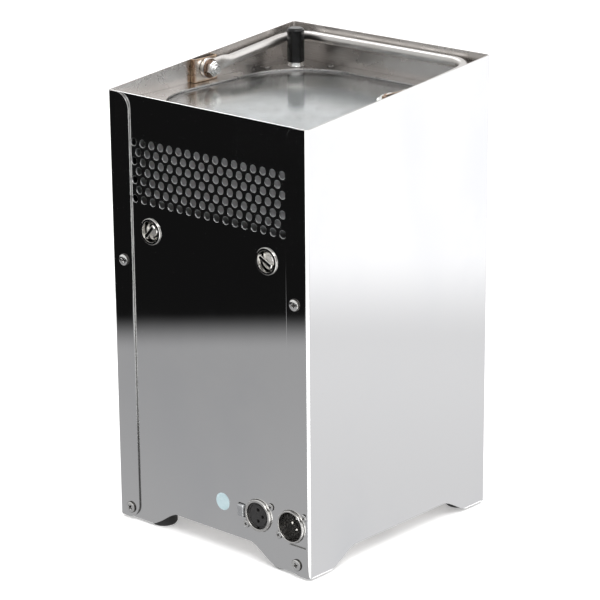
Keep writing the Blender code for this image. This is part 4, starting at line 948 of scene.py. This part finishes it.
def makeWindow():
    lap = window["lap"]
    shape = plate(windowLine(lap), paneLow.z, paneHigh.z, rim=0.35 * mm)
    piece("window_sheet", shape, finishes["windowClear"], stands="window_pane")
    low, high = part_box("window_gasket")
    hole = windowLine(lap - window["sealWidth"])
    shape = plate(windowLine(lap), low.z, high.z, holes=[hole], rim=0.5 * mm)
    piece("window_seal", shape, finishes["footRubber"], stands="window_gasket")


def makeTray():
    low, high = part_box("reflector_tray")
    sheet = window["sheet"]
    dish, hollow = windowLine(-window["trayInset"]), windowLine(-window["trayInset"] - sheet)
    shape = plate(windowLine(window["lap"]), high.z - sheet, high.z)
    shape = fuse(shape, plate(dish, low.z, high.z - sheet / 2))
    inside = plate(hollow, low.z + sheet, high.z + over)
    floorLevel = low.z + sheet
    bottom = [edge for edge in inside.edges if all(abs(vert.co.z - floorLevel) < 1e-6 for vert in edge.verts)]
    bmesh.ops.bevel(inside, geom=bottom, offset=window["fold"], segments=5, profile=0.5, affect="EDGES",
                    material=-1)
    holes = [put(drum(12.8 * mm, -over, over, 40), (x, y, low.z)) for x, y in lensPlaces]
    shape = cut(shape, inside, merged(*holes))
    for face in shape.faces:
        centre = face.calc_center_median()
        face.material_index = 1 if centre.z > floorLevel + 0.2 * mm else 0
    piece("reflector_dish", shape, [finishes["trayPaint"], finishes["traySteel"]], stands="reflector_tray")


def makeLenses():
    low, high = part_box("lens_array")
    radius, back, domeRise = 12.5 * mm, 5 * mm, 1.2 * mm
    web = 0.75 * mm
    middle = (low.z + high.z - 0.6 * mm) / 2
    shape = plate(roundedBox(high.x, high.y, 3 * mm, 8), middle - web, middle + web)
    top = high.z - domeRise
    profile = [(0, low.z + 2.5 * mm), (2.6 * mm, low.z + 1.6 * mm), (3.6 * mm, low.z), (back, low.z)]
    profile += [(back + (radius - back) * (step / 6) ** 0.8, low.z + (top - 1.4 * mm - low.z) * step / 6)
                for step in range(1, 7)]
    profile.append((radius, top))
    profile += [(radius * math.cos(step * math.pi / 16), top + domeRise * math.sin(step * math.pi / 16))
                for step in range(1, 9)]
    lenses = [put(spun(profile, 40), (x, y, 0)) for x, y in lensPlaces]
    shape = fuse(shape, merged(*lenses))
    piece("lens_plate", shape, finishes["lensClear"], stands="lens_array")


def makeLedBoard():
    low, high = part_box("led_board")
    boardTop = low.z + 1.6 * mm
    shape = plate(roundedBox(high.x, high.y, 3 * mm, 6), low.z, boardTop, rim=0.15 * mm)
    bases, domes = [], []
    for x, y in lensPlaces:
        corner = (x - 2.5 * mm, y - 2.5 * mm, boardTop - 0.8 * mm)
        bases.append(block(corner, (x + 2.5 * mm, y + 2.5 * mm, boardTop + 0.7 * mm)))
        profile = [(0, 1.4 * mm), (0.8 * mm, 1.25 * mm), (1.4 * mm, 0.95 * mm), (1.7 * mm, 0.5 * mm),
                   (1.7 * mm, -0.6 * mm), (0, -0.6 * mm)]
        domes.append(put(spun(profile, 20), (x, y, boardTop)))
    shape = fuse(shape, merged(*bases))
    soften(shape, 0.1 * mm, 1)
    for face in shape.faces:
        face.material_index = 0
    for dome in domes:
        for face in dome.faces:
            face.material_index = 1
    shape = fuse(shape, merged(*domes))
    piece("led_plate", shape, [finishes["boardWhite"], finishes["phosphor"]], stands="led_board")


makeDeck()
makeWindow()
makeTray()
makeLenses()
makeLedBoard()
print("deck, window and light engine made")


# ---- handle

swing = next(joint for joint in frame["joints"] if joint["name"] == "handle_swing")
pivot = Vector(swing["pos_m"])
handle = {
    "bar": 4 * mm, "bend": 20 * mm, "eye": 7.5 * mm, "eyeThick": 3 * mm, "flatFrom": 14 * mm,
    "flatTo": 25 * mm, "spread": 1.4, "stud": 3 * mm, "face": 90 * mm, "sides": 28,
}
fixing = {"washer": 7.2 * mm, "washerThick": 1.2 * mm, "nut": 5.8 * mm, "nutThick": 5 * mm}
bracket = {"sheet": 1.5 * mm, "bend": 1.9 * mm, "pitch": 1.0 * mm, "threadDepth": 0.32 * mm}


def makeHandle():
    low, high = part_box("carry_handle")
    radius = handle["bar"]
    barX = high.x - radius
    front = Vector((barX, low.y + radius, high.z - radius))
    away = (front - Vector((barX, pivot.y, pivot.z))).normalized()
    across = away.cross(Vector((1, 0, 0))).normalized()
    start = Vector((barX, pivot.y, pivot.z))
    legs = [start + away * step * mm for step in range(3, 30, 2)]
    half = legs + [front]
    mirrored = [Vector((-place.x, place.y, place.z)) for place in half]
    bendPath = rounded([legs[-1], front, mirrored[-1], mirrored[-2]], handle["bend"], 16, closed=False)
    path = legs[:-1] + bendPath + mirrored[:-2][::-1]

    curve = bpy.data.curves.new("bar", "CURVE")
    curve.dimensions = "3D"
    curve.bevel_depth = radius
    curve.bevel_resolution = handle["sides"] // 4
    curve.use_fill_caps = True
    spline = curve.splines.new("POLY")
    spline.points.add(len(path) - 1)
    for point, place in zip(spline.points, path):
        point.co = (*place, 1)
    holder = bpy.data.objects.new("bar", curve)
    bpy.context.scene.collection.objects.link(holder)
    graph = bpy.context.evaluated_depsgraph_get()
    mesh = bpy.data.meshes.new_from_object(holder.evaluated_get(graph))
    shape = bmesh.new()
    shape.from_mesh(mesh)
    bpy.data.objects.remove(holder)
    bpy.data.meshes.remove(mesh)
    clean(shape)

    # both ends are pressed flat towards the eyes
    eyeOut = handle["face"] - gap
    flatMiddle = eyeOut - handle["eyeThick"] / 2
    for vert in shape.verts:
        side = 1 if vert.co.x > 0 else -1
        offset = Vector((side * barX, vert.co.y, vert.co.z)) - Vector((side * barX, pivot.y, pivot.z))
        along, rise = offset.dot(away), offset.dot(across)
        share = (along - handle["flatFrom"]) / (handle["flatTo"] - handle["flatFrom"])
        share = min(max(share, 0), 1)
        share = share * share * (3 - 2 * share)
        if abs(vert.co.x) < barX - 2 * radius or share == 1:
            continue
        depth = (abs(vert.co.x) - barX) / radius
        pressed = flatMiddle + depth * (handle["eyeThick"] / 2 - 0.02 * mm)
        x = abs(vert.co.x) * share + pressed * (1 - share)
        rise *= share + handle["spread"] * (1 - share)
        place = Vector((0, pivot.y, pivot.z)) + away * along + across * rise
        vert.co = Vector((side * x, place.y, place.z))

    eyes, bores = [], []
    for side in (-1, 1):
        facing = "+X" if side > 0 else "-X"
        inner = (side * (eyeOut - handle["eyeThick"]), pivot.y, pivot.z)
        eye = soften(drum(handle["eye"], 0, handle["eyeThick"], 48), 0.5 * mm, 3)
        eyes.append(put(eye, inner, facing))
        bores.append(put(drum(handle["stud"] + gap, -over, 2 * over, 40), inner, facing))
    shape = fuse(shape, merged(*eyes))
    shape = cut(shape, merged(*bores))
    piece("handle_bar", shape, finishes["barSteel"], "handle", "carry_handle", sharp=50)


def threaded(radius, start, end, pitch, depth, steps=32):
    # a stud with ring threads and a chamfered tip, standing on +Z
    profile = [(0, start), (radius, start)]
    height = start + pitch
    while height + pitch < end:
        profile += [(radius, height), (radius - depth, height + pitch / 2)]
        height += pitch
    profile += [(radius, height), (radius - 2 * depth, end), (0, end)]
    return spun(profile[::-1], steps)


def makeBracket(side, word):
    low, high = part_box(f"handle_bracket_{word}")
    back = high.x if side > 0 else -low.x
    face, sheet = handle["face"], bracket["sheet"]
    outer = rounded([(back, low.y), (face, low.y), (face, high.y), (back, high.y)], bracket["bend"], 6, False)
    inner = [(back, high.y - sheet), (face + sheet, high.y - sheet), (face + sheet, low.y + sheet),
             (back, low.y + sheet)]
    inner = rounded(inner, bracket["bend"] - sheet, 4, False)
    line = [(side * point.x, point.y) for point in outer + inner]
    shape = plate(line, low.z, high.z)
    tip = face - (-high.x if side < 0 else low.x)
    stud = threaded(handle["stud"], -1 * mm, tip, bracket["pitch"], bracket["threadDepth"])
    facing = "+X" if side < 0 else "-X"
    soften(shape, 0.25 * mm)
    shape = fuse(shape, put(stud, (side * face, pivot.y, pivot.z), facing))
    for part in shape.faces:
        inside = side * part.calc_center_median().x < face - 0.05 * mm
        part.material_index = 1 if inside else 0
    piece(f"bracket_{word}", shape, [finishes["tintedSteel"], finishes["brightZinc"]],
          stands=f"handle_bracket_{word}")


def hexNut(radius, thick, bore, crown):
    # a hexagon with turned corners, a crown collar and a plain bore
    body = drum(radius, 0, thick - crown, 6)
    top = thick - crown
    turnedCorners = [(0, top), (radius * 0.9, top), (radius * 1.02, top - 0.6 * mm),
                     (radius * 1.02, 0.5 * mm), (radius * 0.92, 0), (0, 0)]
    body = combine(body, [spun(turnedCorners, 60)], "INTERSECT")
    if crown:
        flat = radius * math.cos(math.pi / 6)
        collar = [(bore, thick), (flat * 0.78, thick), (flat * 0.9, thick - crown * 0.5),
                  (flat * 0.92, thick - crown - 0.4 * mm), (bore, thick - crown - 0.4 * mm)]
        body = fuse(body, spun(collar, 60, closed=True))
    body = cut(body, drum(bore, -over, thick + over, 36))
    return soften(body, 0.12 * mm, 2, 35)


def ringDisc(outer, inner, thick, edge, steps=56):
    profile = [(outer, 0), (outer, thick), (inner, thick), (inner, 0)]
    return soften(spun(profile, steps, closed=True), edge, 3)


def makeFixings(side, word):
    facing = "+X" if side < 0 else "-X"
    bore = handle["stud"] + gap
    start = handle["eyeThick"] + 2 * gap
    washer = put(ringDisc(fixing["washer"], bore, fixing["washerThick"], 0.25 * mm), (0, 0, start))
    nut = hexNut(fixing["nut"], fixing["nutThick"], bore, 1.5 * mm)
    put(nut, (0, 0, start + fixing["washerThick"] + gap), twist=17)
    for name, shape in (("washer", washer), ("nut", nut)):
        put(shape, (side * handle["face"], pivot.y, pivot.z), facing)
        finish = finishes["washerBrown" if name == "washer" else "brightZinc"]
        piece(f"{name}_{word}", shape, finish, stands=f"handle_{name}_{word}")


makeHandle()
for side, word in ((-1, "left"), (1, "right")):
    makeBracket(side, word)
    makeFixings(side, word)
print("handle and its brackets made")


# ---- antenna

antenna = {"radius": 6.5 * mm, "stem": 3 * mm, "nut": 6.6 * mm}


def makeAntenna():
    low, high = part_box("antenna")
    nutLow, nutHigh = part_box("antenna_nut")
    radius, top, foot = antenna["radius"], high.z, nutHigh.z + gap
    profile = [
        (0, top), (radius - 1.5 * mm, top), (radius - 0.3 * mm, top - 1.1 * mm), (radius, top - 1.9 * mm),
        (radius, foot + 0.5 * mm), (radius - 0.5 * mm, foot), (antenna["stem"], foot),
        (antenna["stem"], low.z), (0, low.z),
    ]
    shape = spun(profile, 56)
    soften(shape, 0.12 * mm, 2, 28)
    piece("antenna_stub", put(shape, (*antennaAt, 0)), finishes["antennaGloss"], stands="antenna")
    bore = antenna["stem"] + gap
    nut = hexNut(antenna["nut"] - 0.5 * mm, nutHigh.z - nutLow.z, bore, 0)
    nut = fuse(nut, ringDisc(antenna["nut"], bore, 0.9 * mm, 0.2 * mm))
    piece("antenna_hex", put(nut, (*antennaAt, nutLow.z), twist=12), finishes["brightZinc"],
          stands="antenna_nut")


makeAntenna()
print("antenna made")


# ---- screws

def crossScrew(head, shank, length):
    # a domed head with a tapered cross recess
    dome = [(head * math.sin(step * math.pi / 16), head * (0.1 + 0.22 * math.cos(step * math.pi / 16)))
            for step in range(9)]
    profile = dome + [(head, 0), (shank, 0), (shank, -length), (0, -length)]
    shape = spun(profile, 36)
    arms = []
    for turn in (0, 90):
        arm = block((-0.56 * head, -0.16 * head, 0.02 * head), (0.56 * head, 0.16 * head, 0.4 * head))
        for vert in arm.verts:
            if vert.co.z < 0.2 * head:
                vert.co.x *= 0.4
                vert.co.y *= 0.6
        arms.append(put(arm, (0, 0, 0), twist=turn))
    shape = cut(shape, *arms)
    soften(shape, 0.035 * head, 2, 40)
    # the cross recess and the side of the head take finish 1, a dark finish as painted shade
    for face in shape.faces:
        centre = face.calc_center_median()
        reach = math.hypot(centre.x, centre.y)
        crown = head * (0.1 + 0.22 * math.sqrt(max(1 - (reach / head) ** 2, 0)))
        recess = 0 < centre.z < crown - 0.06 * head and reach < 0.6 * head
        face.material_index = 1 if recess or reach > 0.93 * head else 0
    return shape


screw = {"large": (4.4 * mm, 1.9 * mm, 9 * mm), "small": (2.8 * mm, 1.4 * mm, 7 * mm)}


def addScrews(kind, size, places, facing, twist, step):
    for index, place in enumerate(places):
        shape = put(crossScrew(*screw[size]), place, facing, twist + step * index)
        name = f"{kind}_screw_{index + 1}"
        # the second finish is painted shade for the recess and the head's side
        piece(f"{name}_head", shape, [finishes["brightZinc"], finishes["paintedShadeDark"]], stands=name)


def makeScrews():
    small = [place for x in connectorX.values() for place in connectorScrews(x)]
    addScrews("casing", "large", [(x, halfY + gap, z) for x, z in casingScrews], "+Y", 20, 37)
    addScrews("connector", "small", [(x, panelHigh.y + gap, z) for x, z in small], "+Y", 15, 50)
    addScrews("deck", "small", [(x, y, deckHigh.z + gap) for x, y in deckScrews], "+Z", 0, 30)


makeScrews()
print("screws made")


# ---- quarter-turn fasteners

def makeLatch(side, word):
    place = (side * latch["x"], panelHigh.y, rearRim - latch["drop"])
    rim, wall, floor, shaft = latch["rim"], latch["cup"], -latch["depth"], latch["shaft"]
    profile = [
        (rim, gap), (wall, gap), (wall, floor), (shaft + gap, floor), (shaft + gap, floor + 1 * mm),
        (wall - 2.2 * mm, floor + 1 * mm), (wall - 1.2 * mm, floor + 2 * mm), (wall - 0.9 * mm, 0.5 * mm),
        (wall - 0.75 * mm, gap + 0.75 * mm), (rim - 0.25 * mm, gap + 0.75 * mm), (rim, gap + 0.5 * mm),
    ]
    cup = soften(spun(profile, 56, closed=True), 0.1 * mm, 2, 25)
    piece(f"cup_{word}", put(cup, place, "+Y"), finishes["latchNickel"], stands=f"latch_cup_{word}")

    seat = floor + 1 * mm + gap
    face = seat + latch["face"]
    profile = [
        (0, face), (3.4 * mm, face), (3.8 * mm, face - 0.4 * mm), (5.4 * mm, face - 0.4 * mm),
        (5.7 * mm, face), (latch["stud"] - 0.6 * mm, face), (latch["stud"] - 0.6 * mm, seat + 0.6 * mm),
        (latch["stud"] - 1.2 * mm, seat), (shaft, seat), (shaft, floor - 5 * mm), (0, floor - 5 * mm),
    ]
    stud = spun(profile, 48)
    length, width, height = latch["wing"]
    top = seat + 2 * mm + height
    half = length / 2
    outline = [(-half * 0.9, seat + 1 * mm), (half * 0.9, seat + 1 * mm), (half, top), (-half, top)]
    wing = plate(rounded(outline, 1.2 * mm, 6), -width / 2, width / 2, "Y")
    soften(wing, 0.45 * mm, 3)
    cam = soften(block((-9 * mm, -2.5 * mm, floor - 5 * mm), (9 * mm, 2.5 * mm, floor - 3 * mm)), 0.3 * mm)
    stud = fuse(stud, wing, cam)
    put(stud, place, "+Y", -latch["turns"][word])
    piece(f"turn_stud_{word}", stud, finishes["latchNickel"], f"latch_{word}", f"latch_stud_{word}")


for side, word in ((-1, "left"), (1, "right")):
    makeLatch(side, word)
print("quarter-turn fasteners made")


# ---- data connectors

def makeShell(name, bore, extra):
    x, up = connectorX[name], connector["up"]
    ring, depth = connector["ring"], connector["depth"]
    profile = [(ring, 0), (ring, -depth), (bore, -depth), (bore, 0)]
    shape = soften(spun(profile, 64, closed=True), 0.35 * mm, 3)
    put(shape, (x, panelHigh.y + connector["proud"], up), "+Y")
    halfWide, halfHigh = connector["flange"]
    out = panelLow.y - gap
    outline = [(x - halfWide, up - halfHigh), (x + halfWide + extra, up - halfHigh),
               (x + halfWide + extra, up + halfHigh), (x - halfWide, up + halfHigh)]
    holes = [hoop(bore + 0.5 * mm, (x, up), 48)]
    holes += [hoop(1.8 * mm, place, 20) for place in connectorScrews(x)]
    if extra:
        near, far, half = connector["tab"]
        around, middle = connector["tabGap"], x + (near + far) / 2
        holes.append(roundedBox((far - near) / 2 + around, half + around, 0.5 * mm, 3, (middle, up)))
    shape = fuse(shape, plate(outline, out - 1.8 * mm, out, "Y", holes))
    piece(f"{name}_ring", shape, finishes["shellNickel"], stands=f"{name}_shell")


def contactPlaces(x, side):
    reach, up = connector["contact"], connector["up"]
    return [(x, up + reach), (x, up - reach), (x + side * reach, up)]


def makeSocket():
    x, up = connectorX["dmx_in"], connector["up"]
    makeShell("dmx_in", connector["insert"] + gap, 6 * mm)
    low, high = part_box("dmx_in_insert")
    face = plate(hoop(connector["insert"], (x, up), 56), low.y, high.y, "Y")
    tools = [
        put(drum(1.35 * mm, -14 * mm, over, 24), (px, high.y, pz), "+Y") for px, pz in contactPlaces(x, -1)
    ]
    keyway = block((x - 1.1 * mm, high.y - 3 * mm, up - connector["insert"] - mm),
                   (x + 1.1 * mm, high.y + over, up - connector["insert"] + 1.3 * mm))
    groove = plate(hoop(8.6 * mm, (x, up), 48), high.y - 0.5 * mm, high.y + over, "Y",
                   [hoop(8.1 * mm, (x, up), 48)])
    face = cut(face, merged(*tools), keyway, groove)
    soften(face, 0.12 * mm, 2, 40)
    piece("dmx_in_face", face, finishes["insertBlack"], stands="dmx_in_insert")

    low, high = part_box("dmx_in_latch")
    tab = block(low, high)
    soften(tab, 1.1 * mm, 4)
    piece("release_tab_cap", tab, finishes["shelfAluminium"], "release_tab", "dmx_in_latch")


def makePlug():
    x, up = connectorX["dmx_out"], connector["up"]
    bore = connector["ring"] - 1.1 * mm
    makeShell("dmx_out", bore, 0)
    low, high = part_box("dmx_out_insert")
    profile = [(0, 5 * mm), (bore - gap - 1.2 * mm, 5 * mm), (bore - gap, 4.2 * mm), (bore - gap, 0), (0, 0)]
    face = put(spun(profile, 56), (x, low.y, up), "+Y")
    pinProfile = [(0, 15 * mm), (0.5 * mm, 14.9 * mm), (1 * mm, 14.4 * mm), (1.2 * mm, 13.6 * mm),
                  (1.2 * mm, 4 * mm), (0, 4 * mm)]
    for face_ in face.faces:
        face_.material_index = 0
    pins = []
    for px, pz in contactPlaces(x, 1):
        pin = put(spun(pinProfile, 24), (px, low.y, pz), "+Y")
        for side_ in pin.faces:
            side_.material_index = 1
        pins.append(pin)
    face = fuse(face, merged(*pins))
    piece("dmx_out_face", face, [finishes["insertBlack"], finishes["contactSilver"]],
          stands="dmx_out_insert")


label = {"x": -10.4 * mm, "up": 36.9 * mm + skirt, "radius": 6.6 * mm, "thick": 0.12 * mm}


def makeLabelDisc():
    radius, thick = label["radius"], label["thick"]
    profile = [(0, thick), (radius - 0.1 * mm, thick), (radius, 0), (0, 0)]
    disc = put(spun(profile, 56), (label["x"], panelHigh.y + 0.02 * mm, label["up"]), "+Y")
    piece("round_label", disc, finishes["labelTeal"])


makeSocket()
makePlug()
makeLabelDisc()
print("data connectors made")


# ---- feet, base and controls

def makeFeet():
    for word in ("rear_left", "rear_right", "front_left", "front_right"):
        low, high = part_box(f"foot_{word}")
        radius = (high.x - low.x) / 2
        tall = high.z - low.z
        profile = [
            (0, tall), (radius - 0.6 * mm, tall), (radius - 0.2 * mm, tall - 0.6 * mm), (radius, 1.6 * mm),
            (radius - 1.2 * mm, 0), (radius - 4 * mm, 0), (radius - 4.6 * mm, 1 * mm), (2.6 * mm, 1 * mm),
            (2.4 * mm, 4 * mm), (0, 4 * mm),
        ]
        shape = soften(spun(profile, 48), 0.25 * mm, 2, 35)
        put(shape, ((low.x + high.x) / 2, (low.y + high.y) / 2, low.z))
        piece(f"rubber_{word}", shape, finishes["footRubber"], stands=f"foot_{word}")


def makeButtons():
    for index in range(1, 5):
        low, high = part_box(f"menu_button_{index}")
        radius, tall = 4 * mm, high.z - low.z
        flange = (high.x - low.x) / 2
        profile = [
            (0, tall), (flange, tall), (flange, tall - 3 * mm), (radius, tall - 3 * mm), (radius, 0.8 * mm),
            (radius - 0.7 * mm, 0), (radius - 1.6 * mm, 0), (0, 0.5 * mm),
        ]
        shape = soften(spun(profile, 36), 0.15 * mm, 2, 35)
        put(shape, ((low.x + high.x) / 2, (low.y + high.y) / 2, low.z))
        piece(f"button_cap_{index}", shape, finishes["keyBlack"], f"button_{index}", f"menu_button_{index}")


# the pieces below keep the CAD form with rounded edges: node, name, finish, slot, body, edge
plainPieces = [
    ("base_plate", "base_sheet", "satinSteel", "deck_steel", "housing", 0.2 * mm),
    ("control_well", "well_sheet", "satinSteel", "deck_steel", "housing", 0.2 * mm),
    ("power_inlet", "inlet_body", "keyBlack", "control_black", "housing", 0.25 * mm),
    ("display", "display_window", "displayDark", "display_dark", "housing", 0.2 * mm),
    ("power_switch_body", "switch_body", "keyBlack", "control_black", "housing", 0.3 * mm),
    ("power_switch_rocker", "switch_rocker", "keyBlack", "control_black", "rocker", 0.4 * mm),
    ("heat_sink", "sink_block", "sinkAluminium", "sink_aluminium", "housing", 0.25 * mm),
    ("engine_bracket_left", "engine_angle_left", "shelfAluminium", "sink_aluminium", "housing", 0.2 * mm),
    ("engine_bracket_right", "engine_angle_right", "shelfAluminium", "sink_aluminium", "housing", 0.2 * mm),
    ("equipment_shelf", "shelf_sheet", "shelfAluminium", "sink_aluminium", "housing", 0.2 * mm),
    ("battery_pack", "battery_block", "packSleeve", "pack_sleeve", "housing", 0.4 * mm),
    ("power_supply", "supply_box", "shelfAluminium", "sink_aluminium", "housing", 0.3 * mm),
    ("wireless_module", "module_can", "brightZinc", "sink_aluminium", "housing", 0.2 * mm),
]


def makePlainPieces():
    for node, name, finish, slot, body, edge in plainPieces:
        piece(name, copyOf(node, edge), finishes[finish], body, node)


makeFeet()
makeButtons()
makePlainPieces()
carriedOver = {"fan_frame": "fanBlack", "fan_rotor": "fanBlack", "driver_board": "circuitBoard"}
for node, finish in carriedOver.items():
    nodes[node].data.materials.clear()
    nodes[node].data.materials.append(finishes[finish])
print("feet, base, controls and inner units made")
